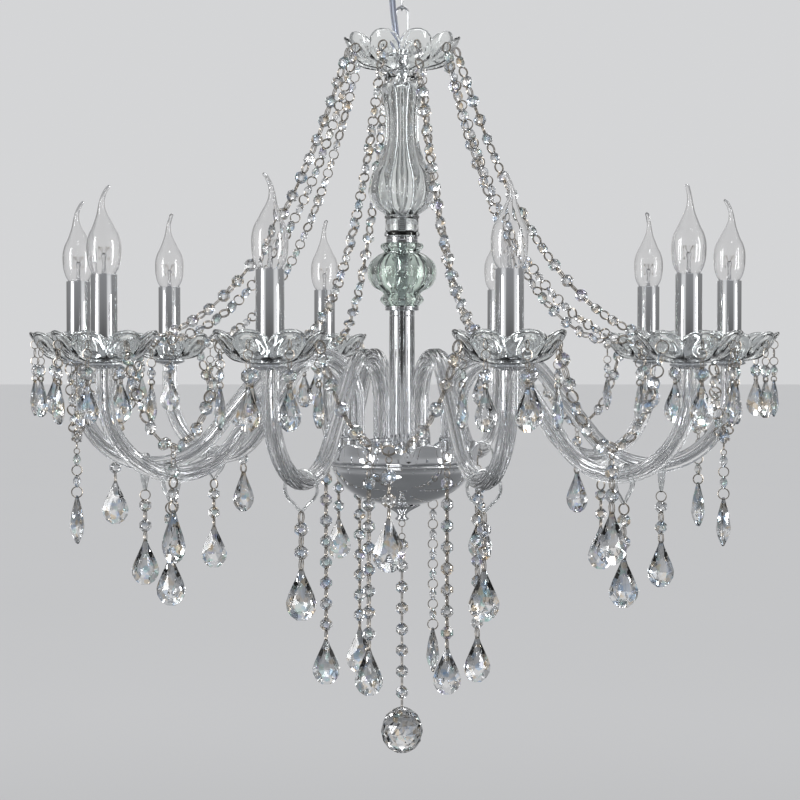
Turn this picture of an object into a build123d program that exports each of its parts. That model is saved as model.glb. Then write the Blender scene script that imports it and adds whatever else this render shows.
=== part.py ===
"""Crystal chandelier: ten glass arms on a glass and chrome stem, hung on a short chain.

Real sizes in millimetres.  The origin is on the ceiling, above the middle of the lamp,
and +Z points up.  Every piece is stacked down from the ceiling, so a height that changes
carries along all that hangs below it.
"""

from build123d import *
from math import asinh, atan, cos, cosh, degrees, hypot, pi, radians, sin, sinh, sqrt
import os

os.makedirs("parts", exist_ok=True)

# ---------------------------------------------------------------- driving dimensions
# Running clearance between two pieces that move, and between two that only stand together
running_gap = 0.1
seat_gap = 0.3

# A jump ring's middle lies this far below the glass or wire that it hangs on
ring_drop = 1

# Ceiling fixing
bracket_length = 92
bracket_width = 18
bracket_thickness = 2.5
bracket_drop = 9
bracket_bridge = 46
screw_spacing = 72
screw_hole_radius = 2.5
canopy_radius = 56
canopy_height = 30
canopy_wall = 1.5
canopy_sides = 32
shank_radius = 4
nut_radius = 8
nut_height = 6
eye_radius = 9
eye_wire = 2.5
lead_slot_length = 26
lead_slot_width = 9

# Chain of two long links, and the bow on top of the stem
link_length = 38
link_width = 16
link_wire = 1.5
bow_width = 15.4
bow_wire = 1.4
bow_leg = 40
cap_radius = 9.5
cap_height = 18

# Flat two-core lead beside the chain
lead_width = 6.6
lead_thickness = 3.3
lead_joint_gap = 2.8

# Stem, from the crown dish down
rod_radius = 5
dish_radius = 62
dish_height = 36
dish_floor_radius = 18
dish_glass = 3
dish_lip = 1.5
dish_petals = 10
dish_notch = 0.92
upper_collar_height = 15
lower_collar_height = 22.6
collar_radius = 19
collar_bevel = 3
collar_sides = 12
vase_height = 138.4
vase_radius = 35.7
vase_flutes = 14
vase_notch = 0.93
ball_height = 66.4
ball_radius = 36.8
ball_flutes = 12
ball_notch = 0.94
ring_height = 7
ring_radius = 17
stem_cap_height = 5.3
stem_cap_radius = 18
tube_radius = 13.6
tube_wall = 1
tube_length = 157.3

# Hub: scalloped plate, arm sockets, bowl and finial
plate_radius = 84
plate_floor_radius = 80
plate_thickness = 3
plate_rim_height = 18
plate_petals = 12
plate_notch = 0.94
plate_wall = 1.5
socket_height = 24
socket_wall = 1.4
bowl_radius = 78
bowl_height = 47
bowl_wall = 1.5
bowl_sides = 24
finial_height = 17
finial_radius = 20
finial_leaves = 6
finial_notch = 0.75

# Arms
arm_count = 10
first_arm_angle = -110
arm_radius = 8.5
arm_ribs = 6
leg_radius = 62
hump_radius = 50
hump_centre_height = 59
sweep_radius = 80
sweep_centre_height = 73
reach = 347
arm_tip_height = 98

# Drip pans, seats, candle sleeves, lamp holders and bulbs
seat_radius = 18
seat_height = 5.5
pan_radius = 54
pan_height = 31.5
pan_floor_radius = 17.7
pan_glass = 3.5
pan_lip = 1.5
pan_petals = 8
pan_notch = 0.93
sleeve_radius = 13
sleeve_sides = 16
sleeve_wall = 0.8
sleeve_height = 82
holder_radius = 11.5
holder_height = 59
nipple_radius = 5
bulb_radius = 16.8
bulb_length = 109
bulb_sides = 10
bulb_tip_bend = 7

# Crystals
bead_size = 14
bead_thickness = 7.5
bead_sides = 6
wire_radius = 0.8
pear_length = 50
pear_width = 30
pear_thickness = 15
small_pear_length = 40
small_pear_width = 23
small_pear_thickness = 11
bead_link = 7.8

# Garlands from the crown dish to the pans, and swags from pan to pan
crown_hole_radius = 57.5
pan_hole_radius = 47.5
crown_beads = 19
swag_sag = 97
swag_beads = 10
pendant_beads = 2
pendant_first_link = 14.5

# Drops on the arms, the pans and the hub
clip_inset = 71
clip_width = 33
clip_wall = 2.5
clip_band = 7
clip_tail = 42
pan_drop_link = 23
hub_strand_beads = 8
hub_strand_link = 8.2
hub_strand_first_link = 32
first_hub_strand_angle = -115
hub_strand_count = 6
centre_first_link = 18.5
centre_link = 8.6
crystal_ball_radius = 22.5
crystal_ball_height = 50
crystal_ball_sides = 8

# ---------------------------------------------------------------- heights from the ceiling
bridge_top = -bracket_drop
canopy_bottom = -canopy_height
eye_centre = canopy_bottom - nut_height - eye_radius - eye_wire
eye_seat = eye_centre - eye_radius + eye_wire
link_reach = link_length - 2 * link_wire
upper_link_top = eye_seat + link_wire + running_gap
upper_link_bottom = upper_link_top - link_reach
lower_link_top = upper_link_bottom + 2 * link_wire + running_gap
lower_link_bottom = lower_link_top - link_reach
bow_top = lower_link_bottom + link_wire + bow_wire + running_gap
bow_bend = bow_width / 2 - bow_wire
bow_foot = bow_top - bow_bend - bow_leg
dish_floor = bow_foot - cap_height
dish_bottom = dish_floor - dish_glass
vase_top = dish_bottom - upper_collar_height
vase_bottom = vase_top - vase_height
ring_top = vase_bottom - lower_collar_height
ball_top = ring_top - ring_height
ball_bottom = ball_top - ball_height
tube_top = ball_bottom - stem_cap_height
hub_floor = tube_top - tube_length
plate_bottom = hub_floor - plate_thickness
bowl_bottom = plate_bottom - bowl_height
finial_bottom = bowl_bottom - finial_height

arm_tip = hub_floor + arm_tip_height
pan_bottom = arm_tip + seat_height
pan_floor = pan_bottom + pan_glass
holder_top = pan_floor + holder_height

arm_angles = [first_arm_angle + 360 / arm_count * number for number in range(arm_count)]


# ---------------------------------------------------------------- shared outlines and rules
def ring(radius, height, corner_count, notch_share=1, start_angle=0, shift=0):
    """Corners at a height, with every second one drawn in to the notch's share of the radius."""
    corners = []
    for number in range(corner_count):
        corner_radius = radius * (notch_share if number % 2 else 1)
        angle = radians(start_angle + number * 360 / corner_count)
        corners.append((shift + corner_radius * cos(angle), corner_radius * sin(angle), height))
    return corners


def facet_solid(rings):
    """A solid of flat facets that run from ring to ring, closed by a flat face at each end."""
    faces = [Face(Wire.make_polygon(rings[0])), Face(Wire.make_polygon(rings[-1]))]
    for low, high in zip(rings, rings[1:]):
        for number in range(len(low)):
            corners = [low[number - 1], low[number], high[number], high[number - 1]]
            faces.append(Face(Wire.make_polygon(corners)))
    return Solid(Shell(faces))


def turned(sections, corner_count, notch_share=1, start_angle=0):
    """A faceted or fluted solid through a ring of corners for each (radius, height) pair."""
    return facet_solid([ring(*section, corner_count, notch_share, start_angle) for section in sections])


def inside_of(outside, glass, lip):
    """Inside of a dish whose glass is measured upright and thins to a lip at the rim."""
    rim_radius, rim_height = outside[-1]
    inside = [(radius - lip, height + glass) for radius, height in outside[:-1]]
    return [*inside, (rim_radius - lip, rim_height)]


def height_on(sections, radius):
    """Height of the outside of a lofted dish at the given radius."""
    for (near, low), (far, high) in zip(sections, sections[1:]):
        if near <= radius <= far:
            return low + (high - low) * (radius - near) / (far - near)
    return sections[-1][1]


def catenary_constant(run, rise):
    """The c of rise = c (cosh(run / c) - 1), for a chain that is level at its low end."""
    low, high = run / 20, run * 20
    for _ in range(80):
        middle = (low + high) / 2
        if middle * (cosh(run / middle) - 1) > rise:
            low = middle
        else:
            high = middle
    return (low + high) / 2


def catenary_plane(constant, along, across):
    """Frame on a catenary that is lowest at its origin, at the given length along it."""
    slope = atan(along / constant)
    place = (constant * asinh(along / constant), 0, hypot(along, constant) - constant)
    tangent = (cos(slope), 0, sin(slope))
    face = (-sin(slope), 0, cos(slope)) if across else (0, 1, 0)
    return Plane(origin=place, x_dir=tangent, z_dir=face)


def bipyramid(outline, thickness, peak=(0, 0)):
    """A cut crystal: an outline whose facets rise to one point on each face."""
    x, y = peak
    sections = [Vertex(x, y, -thickness / 2), outline.face(), Vertex(x, y, thickness / 2)]
    return loft(sections, ruled=True)


# ---------------------------------------------------------------- crystal shapes
# Octagon-cut bead: its length lies along X, with a hole at each end
with BuildSketch() as bead_outline:
    RegularPolygon(bead_size / 2, bead_sides)
with BuildPart() as bead:
    bipyramid(bead_outline, bead_thickness)


def link_bar(length):
    """The jump ring between two beads, drawn as a slim bar along X from the origin."""
    with BuildPart() as bar:
        with BuildSketch(Plane.YZ):
            RegularPolygon(wire_radius, 3)
        extrude(amount=length)
    return bar.part


def pear(length, width, thickness):
    """Pear drop that hangs from the origin along -X, with its facets meeting low down."""
    half = [(0, 0.05), (0.58, 0.5), (0.82, 0.43), (1, 0.15)]
    corners = [(-x * length, y * width) for x, y in half]
    corners += [(x, -y) for x, y in reversed(corners)]
    with BuildSketch() as outline:
        Polygon(*corners, align=None)
    with BuildPart() as drop:
        bipyramid(outline, thickness, (-0.62 * length, 0))
    return drop.part


large_pear = pear(pear_length, pear_width, pear_thickness)
small_pear = pear(small_pear_length, small_pear_width, small_pear_thickness)


def hanging(height, turn=0, radius=0):
    """Frame with X up at a height on a hanging strand, turned about the strand."""
    facing = (cos(radians(turn)), sin(radians(turn)), 0)
    return Plane(origin=(radius, 0, height), x_dir=(0, 0, 1), z_dir=facing)


def hang_strand(top, beads, first_link, link, radius=0, turn=90):
    """Bars and beads straight down from a height; returns where the next piece starts."""
    bead_planes = []
    bar_planes = []
    height = top - first_link
    for number in range(beads):
        bead_planes.append(hanging(height - bead_size / 2, turn + 90 * (number % 2), radius))
        height -= bead_size
        bar_planes.append(hanging(height - link, 0, radius))
        height -= link
    add_link(hanging(top - first_link, 0, radius), first_link)
    with Locations(*bar_planes):
        add(link_bar(link))
    with Locations(*bead_planes):
        add(bead.part)
    return height


def add_link(plane, length):
    """One bar of its own length, standing on the plane's X axis."""
    with Locations(plane):
        add(link_bar(length))


# ---------------------------------------------------------------- ceiling fixing
# Hat-shaped strap: two feet on the ceiling and a lower bridge that carries the hook
with BuildPart() as ceiling_bracket:
    with BuildSketch(Plane.XZ) as strap:
        with Locations((0, bridge_top - bracket_thickness / 2)):
            Rectangle(bracket_bridge, bracket_thickness)
        foot_length = (bracket_length - bracket_bridge) / 2
        foot_middle = (bracket_bridge + foot_length) / 2
        with Locations((-foot_middle, -bracket_thickness / 2), (foot_middle, -bracket_thickness / 2)):
            Rectangle(foot_length, bracket_thickness)
        side_middle = (bracket_bridge - bracket_thickness) / 2
        side_height = bracket_drop + bracket_thickness
        with Locations((-side_middle, -side_height / 2), (side_middle, -side_height / 2)):
            Rectangle(bracket_thickness, side_height)
    extrude(amount=bracket_width / 2, both=True)
    with Locations((-screw_spacing / 2, 0, 0), (screw_spacing / 2, 0, 0)):
        Hole(screw_hole_radius, depth=bracket_thickness)
    with Locations((0, 0, bridge_top)):
        Hole(shank_radius + running_gap, depth=bracket_thickness)
ceiling_bracket.part.label = "ceiling_bracket"
export_step(ceiling_bracket.part, "parts/ceiling_bracket.step")

# Dished canopy that hides the bracket, open at the ceiling
canopy_shape = [(0.42, 1), (0.72, 0.86), (0.93, 0.5), (1, 0.12), (1, 0)]
canopy_outside = [(share * canopy_radius, -drop * canopy_height) for share, drop in canopy_shape]
canopy_inside = [
    (radius - canopy_wall, min(height + canopy_wall, 0)) for radius, height in canopy_outside
]
with BuildPart() as ceiling_canopy:
    add(turned(canopy_outside, canopy_sides))
    add(turned(canopy_inside, canopy_sides), mode=Mode.SUBTRACT)
    with Locations((0, 0, canopy_bottom + canopy_wall)):
        Hole(shank_radius + seat_gap, depth=canopy_wall)
    lead_place = -(link_width / 2 + seat_gap + lead_width / 2)
    with BuildSketch(Plane.XY.offset(canopy_bottom)):
        with Locations((lead_place, 0)):
            SlotOverall(lead_slot_length, lead_slot_width, rotation=90)
    extrude(amount=canopy_wall, mode=Mode.SUBTRACT)
ceiling_canopy.part.label = "ceiling_canopy"
export_step(ceiling_canopy.part, "parts/ceiling_canopy.step")

# Eye hook: a threaded shank through the bracket, ending in a closed wire eye
with BuildPart() as ceiling_hook:
    with BuildLine(Plane.YZ):
        CenterArc((0, eye_centre), eye_radius, 90, 180)
        CenterArc((0, eye_centre), eye_radius, 270, 180)
    with BuildSketch(Plane(origin=(0, 0, eye_centre + eye_radius), z_dir=(0, -1, 0))):
        RegularPolygon(eye_wire, 6)
    sweep()
    with BuildSketch(Plane.XY.offset(eye_centre + eye_radius)):
        Circle(shank_radius)
    extrude(amount=bridge_top + nut_height + running_gap - eye_centre - eye_radius)
ceiling_hook.part.label = "ceiling_hook"
export_step(ceiling_hook.part, "parts/ceiling_hook.step")

# Hexagon nut on the bridge, and the round nut that holds the canopy up
with BuildPart() as hook_nuts:
    with BuildSketch(Plane.XY.offset(bridge_top)):
        RegularPolygon(nut_radius, 6)
        Circle(shank_radius + running_gap, mode=Mode.SUBTRACT)
    extrude(amount=nut_height)
    with BuildSketch(Plane.XY.offset(canopy_bottom)):
        RegularPolygon(nut_radius - 1, 12)
        Circle(shank_radius + running_gap, mode=Mode.SUBTRACT)
    extrude(amount=-nut_height)
hook_nuts.part.label = "hook_nuts"
export_step(hook_nuts.part, "parts/hook_nuts.step")


# ---------------------------------------------------------------- chain and lead
def wire_loop(width, wire, top, bottom, plane):
    """A long link of round wire, drawn six-sided: its centre line runs from top to bottom."""
    bend = width / 2 - wire
    with BuildLine(plane) as line:
        Line((bend, bottom + bend), (bend, top - bend))
        CenterArc((0, top - bend), bend, 0, 180)
        Line((-bend, top - bend), (-bend, bottom + bend))
        CenterArc((0, bottom + bend), bend, 180, 180)
    with BuildSketch(Plane(origin=line.line @ 0, z_dir=line.line % 0)) as section:
        RegularPolygon(wire, 6)
    return line.line, section.sketch.face()


with BuildPart() as chain_links:
    for link_top, link_bottom, link_plane in (
        (upper_link_top, upper_link_bottom, Plane.XZ),
        (lower_link_top, lower_link_bottom, Plane.YZ),
    ):
        path, section = wire_loop(link_width, link_wire, link_top, link_bottom, link_plane)
        sweep(section, path=path)
chain_links.part.label = "chain_links"
export_step(chain_links.part, "parts/chain_links.step")

# The lead comes down through the canopy, past the chain, and into the cap of the stem
lead_tail_top = lower_link_bottom
lead_end = lead_tail_top + lead_joint_gap
lead_tail_place = lead_place + 1.6
lead_cap_place = (-4.4, -5)
lead_upper_route = [
    (lead_place, 0, canopy_bottom + 6),
    (lead_place - 0.6, 0, (canopy_bottom + lead_end) / 2),
    (lead_tail_place, -3.6, lead_end),
]
lead_lower_route = [
    (lead_tail_place + 0.1, -3.8, lead_tail_top),
    (lead_tail_place + 3.2, -5.4, (lead_tail_top + bow_foot) / 2),
    (*lead_cap_place, bow_foot + 0.6),
]


def lead_tube(route):
    """A stretch of lead: two runs joined by the largest arc that they allow."""
    start, corner, end = (Vector(*point) for point in route)
    turn = (corner - start).get_angle(end - corner)
    shorter = min((corner - start).length, (end - corner).length)
    bend = 0.45 * shorter / sin(radians(turn / 2)) * cos(radians(turn / 2))
    with BuildPart() as tube:
        with BuildLine() as line:
            FilletPolyline(start, corner, end, radius=bend)
        with BuildSketch(Plane(origin=start, x_dir=(1, 0, 0), z_dir=line.line % 0)):
            SlotOverall(lead_width, lead_thickness)
        sweep()
    section = lead_thickness * (lead_width - lead_thickness) + pi * lead_thickness**2 / 4
    length = sum(edge.length for edge in line.line.edges())
    print(f"lead bend {bend:.0f} mm, volume {tube.part.volume:.0f} of {section * length:.0f}")
    return tube


lead_upper = lead_tube(lead_upper_route)
lead_upper.part.label = "lead_upper"
export_step(lead_upper.part, "parts/lead_upper.step")
lead_lower = lead_tube(lead_lower_route)
lead_lower.part.label = "lead_lower"
export_step(lead_lower.part, "parts/lead_lower.step")

# ---------------------------------------------------------------- stem
# Bow of wire on a turned cap; the lead enters the top of the cap
with BuildPart() as stem_bow:
    with BuildLine(Plane.XZ) as bow_line:
        Line((bow_bend, bow_foot), (bow_bend, bow_top - bow_bend))
        CenterArc((0, bow_top - bow_bend), bow_bend, 0, 180)
        Line((-bow_bend, bow_top - bow_bend), (-bow_bend, bow_foot))
    with BuildSketch(Plane.XY.offset(bow_foot)):
        with Locations((bow_bend, 0)):
            RegularPolygon(bow_wire, 6)
    sweep()
    with BuildSketch(Plane.XY.offset(dish_floor)):
        RegularPolygon(cap_radius, 16)
    extrude(amount=cap_height)
    with Locations((0, 0, dish_floor)):
        Cylinder(rod_radius + running_gap, cap_height / 2, align=(Align.CENTER, Align.CENTER, Align.MIN),
                 mode=Mode.SUBTRACT)
stem_bow.part.label = "stem_bow"
export_step(stem_bow.part, "parts/stem_bow.step")

# Crown dish: scalloped glass, with a petal for each arm
dish_outside = [
    (dish_floor_radius, dish_bottom),
    (0.645 * dish_radius, dish_bottom + 0.194 * dish_height),
    (0.887 * dish_radius, dish_bottom + 0.5 * dish_height),
    (dish_radius, dish_bottom + dish_height),
]
dish_inside = inside_of(dish_outside, dish_glass, dish_lip)
with BuildPart() as crown_dish:
    add(turned(dish_outside, 2 * dish_petals, dish_notch, first_arm_angle))
    add(turned(dish_inside, 2 * dish_petals, dish_notch, first_arm_angle), mode=Mode.SUBTRACT)
    with Locations((0, 0, dish_floor)):
        Hole(rod_radius + seat_gap, depth=dish_glass)
crown_dish.part.label = "crown_dish"
export_step(crown_dish.part, "parts/crown_dish.step")

# Faceted glass collars above and below the vase
with BuildPart() as glass_collars:
    for collar_top, collar_height in (
        (dish_bottom, upper_collar_height),
        (vase_bottom, lower_collar_height),
    ):
        collar_sections = [
            (collar_radius - collar_bevel, collar_top - collar_height),
            (collar_radius, collar_top - collar_height / 2),
            (collar_radius - collar_bevel, collar_top),
        ]
        add(turned(collar_sections, collar_sides))
        with Locations((0, 0, collar_top)):
            Hole(rod_radius + seat_gap, depth=collar_height)
glass_collars.part.label = "glass_collars"
export_step(glass_collars.part, "parts/glass_collars.step")

# Fluted vase: shares of its radius and of its height, from the lip down
vase_shape = [(0.67, 0), (0.57, 0.1), (0.49, 0.3), (0.52, 0.45), (0.7, 0.6), (0.97, 0.76), (1, 0.84),
              (0.84, 0.93), (0.5, 1)]
vase_sections = [(width * vase_radius, vase_top - drop * vase_height) for width, drop in vase_shape]
with BuildPart() as stem_vase:
    add(turned(vase_sections, 2 * vase_flutes, vase_notch))
    with Locations((0, 0, vase_top)):
        Hole(rod_radius + seat_gap, depth=vase_height)
stem_vase.part.label = "stem_vase"
export_step(stem_vase.part, "parts/stem_vase.step")

# Melon-fluted ball between two lips, in the same shares
ball_shape = [(0.61, 0), (0.52, 0.14), (0.84, 0.26), (1, 0.48), (0.82, 0.7), (0.53, 0.8), (0.63, 0.9),
              (0.52, 1)]
ball_sections = [(width * ball_radius, ball_top - drop * ball_height) for width, drop in ball_shape]
with BuildPart() as stem_ball:
    add(turned(ball_sections, 2 * ball_flutes, ball_notch))
    with Locations((0, 0, ball_top)):
        Hole(rod_radius + seat_gap, depth=ball_height)
stem_ball.part.label = "stem_ball"
export_step(stem_ball.part, "parts/stem_ball.step")

# Chrome ring above the ball and chrome cap below it
with BuildPart() as stem_rings:
    for ring_place, ring_depth, ring_size in (
        (ring_top, ring_height, ring_radius),
        (ball_bottom, stem_cap_height, stem_cap_radius),
    ):
        with BuildSketch(Plane.XY.offset(ring_place)):
            Circle(ring_size)
            Circle(rod_radius + seat_gap, mode=Mode.SUBTRACT)
        extrude(amount=-ring_depth)
stem_rings.part.label = "stem_rings"
export_step(stem_rings.part, "parts/stem_rings.step")

# Chrome tube from the ball to the hub
with BuildPart() as stem_tube:
    with BuildSketch(Plane.XY.offset(hub_floor)):
        Circle(tube_radius)
        Circle(tube_radius - tube_wall, mode=Mode.SUBTRACT)
    extrude(amount=tube_length)
stem_tube.part.label = "stem_tube"
export_step(stem_tube.part, "parts/stem_tube.step")

# Threaded rod that ties the stem together, from the cap to the finial
rod_top = dish_floor + cap_height / 2 - seat_gap
rod_bottom = bowl_bottom - finial_height / 3
with BuildPart() as stem_rod:
    with BuildSketch(Plane.XY.offset(rod_bottom)):
        Circle(rod_radius)
    extrude(amount=rod_top - rod_bottom)
stem_rod.part.label = "stem_rod"
export_step(stem_rod.part, "parts/stem_rod.step")

# ---------------------------------------------------------------- hub
# Scalloped chrome plate: the arms stand on it and the strands hang on its notches
plate_start_angle = first_hub_strand_angle + 180 / plate_petals
plate_outside = [(plate_floor_radius, plate_bottom), (plate_radius, hub_floor + plate_rim_height)]
plate_inside = [
    (plate_floor_radius - plate_wall, hub_floor),
    (plate_radius - plate_wall, hub_floor + plate_rim_height),
]
with BuildPart() as hub_plate:
    add(turned(plate_outside, 2 * plate_petals, plate_notch, plate_start_angle))
    add(turned(plate_inside, 2 * plate_petals, plate_notch, plate_start_angle), mode=Mode.SUBTRACT)
    with Locations((0, 0, hub_floor)):
        Hole(rod_radius + seat_gap, depth=plate_thickness)
hub_plate.part.label = "hub_plate"
export_step(hub_plate.part, "parts/hub_plate.step")

# Sockets that hold the feet of the arms
with BuildPart() as arm_sockets:
    with BuildSketch(Plane.XY.offset(hub_floor)):
        with PolarLocations(leg_radius, arm_count, start_angle=first_arm_angle):
            RegularPolygon(arm_radius + seat_gap + socket_wall, 12)
            RegularPolygon(arm_radius + seat_gap, 12, mode=Mode.SUBTRACT)
    extrude(amount=socket_height)
arm_sockets.part.label = "arm_sockets"
export_step(arm_sockets.part, "parts/arm_sockets.step")

# Chrome bowl under the plate
bowl_shape = [(1, 0), (0.95, 0.22), (0.82, 0.52), (0.6, 0.79), (0.3, 0.96), (0.13, 1)]
bowl_outside = [(share * bowl_radius, plate_bottom - drop * bowl_height) for share, drop in bowl_shape]
bowl_inside = [
    (radius - bowl_wall, min(height + bowl_wall * (index > 0), plate_bottom))
    for index, (radius, height) in enumerate(bowl_outside)
]
with BuildPart() as hub_bowl:
    add(turned(bowl_outside, bowl_sides))
    add(turned(bowl_inside, bowl_sides), mode=Mode.SUBTRACT)
    with Locations((0, 0, bowl_bottom + bowl_wall)):
        Hole(rod_radius + seat_gap, depth=bowl_wall)
hub_bowl.part.label = "hub_bowl"
export_step(hub_bowl.part, "parts/hub_bowl.step")

# Flower finial that closes the bowl
finial_sections = [
    (finial_radius, bowl_bottom),
    (finial_radius * 0.45, bowl_bottom - finial_height * 0.45),
    (finial_radius * 0.25, bowl_bottom - finial_height * 0.7),
    (finial_radius * 0.35, bowl_bottom - finial_height * 0.85),
    (finial_radius * 0.2, finial_bottom),
]
with BuildPart() as bowl_finial:
    add(turned(finial_sections, 2 * finial_leaves, finial_notch))
    with Locations((0, 0, bowl_bottom)):
        Hole(rod_radius + running_gap, depth=finial_height / 3)
bowl_finial.part.label = "bowl_finial"
export_step(bowl_finial.part, "parts/bowl_finial.step")

# ---------------------------------------------------------------- arms
# An arm stands in its socket, humps over, runs down straight and sweeps up to its pan
hump = Vector(leg_radius + hump_radius, hub_floor + hump_centre_height)
sweep_middle = Vector(reach - sweep_radius, hub_floor + sweep_centre_height)
between = sweep_middle - hump
straight_turn = degrees(
    atan(sqrt(between.length**2 - (hump_radius + sweep_radius) ** 2) / (hump_radius + sweep_radius))
)
leave_angle = degrees(atan(between.Y / between.X)) + straight_turn

with BuildPart() as one_arm:
    with BuildLine(Plane.XZ):
        Line((leg_radius, hub_floor + seat_gap), (leg_radius, hump.Y))
        over = CenterArc((hump.X, hump.Y), hump_radius, 180, leave_angle - 180)
        under = CenterArc(
            (sweep_middle.X, sweep_middle.Y), sweep_radius, leave_angle + 180, 180 - leave_angle
        )
        Line(over @ 1, under @ 0)
        Line((reach, sweep_middle.Y), (reach, arm_tip))
    with BuildSketch(Plane.XY.offset(hub_floor + seat_gap)):
        with Locations((leg_radius, 0)):
            RegularPolygon(arm_radius, arm_ribs)
    sweep()

with BuildPart() as glass_arms:
    with PolarLocations(0, arm_count, start_angle=first_arm_angle):
        add(one_arm.part)
glass_arms.part.label = "glass_arms"
export_step(glass_arms.part, "parts/glass_arms.step")

# ---------------------------------------------------------------- candles
with BuildPart() as pan_seats:
    with BuildSketch(Plane.XY.offset(arm_tip)):
        with PolarLocations(reach, arm_count, start_angle=first_arm_angle):
            RegularPolygon(seat_radius, 12)
            RegularPolygon(nipple_radius + running_gap, 8, mode=Mode.SUBTRACT)
    extrude(amount=seat_height)
pan_seats.part.label = "pan_seats"
export_step(pan_seats.part, "parts/pan_seats.step")

# Drip pan: a fluted glass saucer with eight petals
pan_outside = [
    (pan_floor_radius, pan_bottom),
    (0.643 * pan_radius, pan_bottom + 0.216 * pan_height),
    (0.833 * pan_radius, pan_bottom + 0.54 * pan_height),
    (pan_radius, pan_bottom + pan_height),
]
pan_inside = inside_of(pan_outside, pan_glass, pan_lip)
with BuildPart() as one_pan:
    add(turned(pan_outside, 2 * pan_petals, pan_notch))
    add(turned(pan_inside, 2 * pan_petals, pan_notch), mode=Mode.SUBTRACT)
    with BuildSketch(Plane.XY.offset(pan_bottom)):
        RegularPolygon(nipple_radius + running_gap, 8)
    extrude(amount=pan_glass, mode=Mode.SUBTRACT)
with BuildPart() as drip_pans:
    with PolarLocations(reach, arm_count, start_angle=first_arm_angle):
        add(one_pan.part)
drip_pans.part.label = "drip_pans"
export_step(drip_pans.part, "parts/drip_pans.step")

with BuildPart() as candle_sleeves:
    with BuildSketch(Plane.XY.offset(pan_floor)):
        with PolarLocations(reach, arm_count, start_angle=first_arm_angle):
            RegularPolygon(sleeve_radius, sleeve_sides)
            RegularPolygon(sleeve_radius - sleeve_wall, sleeve_sides, mode=Mode.SUBTRACT)
    extrude(amount=sleeve_height)
candle_sleeves.part.label = "candle_sleeves"
export_step(candle_sleeves.part, "parts/candle_sleeves.step")

# Lamp holder in the sleeve, with the nipple that clamps the pan to the arm
with BuildPart() as lamp_holders:
    with BuildSketch(Plane.XY.offset(pan_floor)):
        with PolarLocations(reach, arm_count, start_angle=first_arm_angle):
            RegularPolygon(holder_radius, 8)
    extrude(amount=holder_height)
    with BuildSketch(Plane.XY.offset(arm_tip)):
        with PolarLocations(reach, arm_count, start_angle=first_arm_angle):
            RegularPolygon(nipple_radius, 8)
    extrude(amount=pan_floor - arm_tip)
lamp_holders.part.label = "lamp_holders"
export_step(lamp_holders.part, "parts/lamp_holders.step")

# Bulb with a bent tip: shares of its radius, of its length and of the bend towards the stem
bulb_shape = [(0.42, 0, 0), (0.42, 0.13, 0), (0.63, 0.17, 0), (0.93, 0.33, 0), (1, 0.46, 0),
              (0.8, 0.64, 0), (0.39, 0.79, 0.05), (0.155, 0.89, 0.3), (0.054, 1, 1)]
bulb_rings = [
    ring(width * bulb_radius, holder_top + rise * bulb_length, bulb_sides, shift=-bend * bulb_tip_bend)
    for width, rise, bend in bulb_shape
]
with BuildPart() as bulbs:
    with PolarLocations(reach, arm_count, start_angle=first_arm_angle):
        add(facet_solid(bulb_rings))
bulbs.part.label = "bulbs"
export_step(bulbs.part, "parts/bulbs.step")

# ---------------------------------------------------------------- crystals on the pans
pan_hook = height_on(pan_outside, pan_hole_radius) - ring_drop
with BuildPart() as one_pan_drop:
    pear_top = hang_strand(pan_hook, 1, pan_drop_link, 2.4, turn=0)
    with Locations(hanging(pear_top)):
        add(small_pear)

drop_angles = [0, 45, -45, 135, -135]
with BuildPart() as pan_drops:
    for angle in arm_angles:
        pan_place = Plane(origin=Vector(reach, 0, 0).rotate(Axis.Z, angle)).rotated((0, 0, angle))
        with Locations(*[pan_place.rotated((0, 0, turn)) for turn in drop_angles]):
            with Locations((pan_hole_radius, 0, 0)):
                add(one_pan_drop.part)
pan_drops.part.label = "pan_drops"
export_step(pan_drops.part, "parts/pan_drops.step")

# ---------------------------------------------------------------- garlands
# A garland hangs from the crown dish and comes in level at the inner hole of its pan
garland_top = height_on(dish_outside, crown_hole_radius) - ring_drop - 2 * seat_gap
garland_foot = reach - pan_hole_radius
garland_run = garland_foot - crown_hole_radius
garland_curve = catenary_constant(garland_run, garland_top - pan_hook)
garland_length = garland_curve * sinh(garland_run / garland_curve)
garland_link = (garland_length - crown_beads * bead_size) / (crown_beads + 1)
print(f"garland: {garland_length:.0f} mm, links {garland_link:.2f} mm")

with BuildPart() as one_garland:
    garland_origin = Plane(origin=(garland_foot, 0, pan_hook), x_dir=(-1, 0, 0), z_dir=(0, 0, 1))
    with Locations(garland_origin):
        pitch = bead_size + garland_link
        bars = [catenary_plane(garland_curve, number * pitch, False) for number in range(crown_beads + 1)]
        middles = [(number + 1) * pitch - bead_size / 2 for number in range(crown_beads)]
        beads = [
            catenary_plane(garland_curve, place, number % 2 == 0) for number, place in enumerate(middles)
        ]
        with Locations(*bars):
            add(link_bar(garland_link))
        with Locations(*beads):
            add(bead.part)
with BuildPart() as crown_garlands:
    with PolarLocations(0, arm_count, start_angle=first_arm_angle):
        add(one_garland.part)
crown_garlands.part.label = "crown_garlands"
export_step(crown_garlands.part, "parts/crown_garlands.step")

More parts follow.
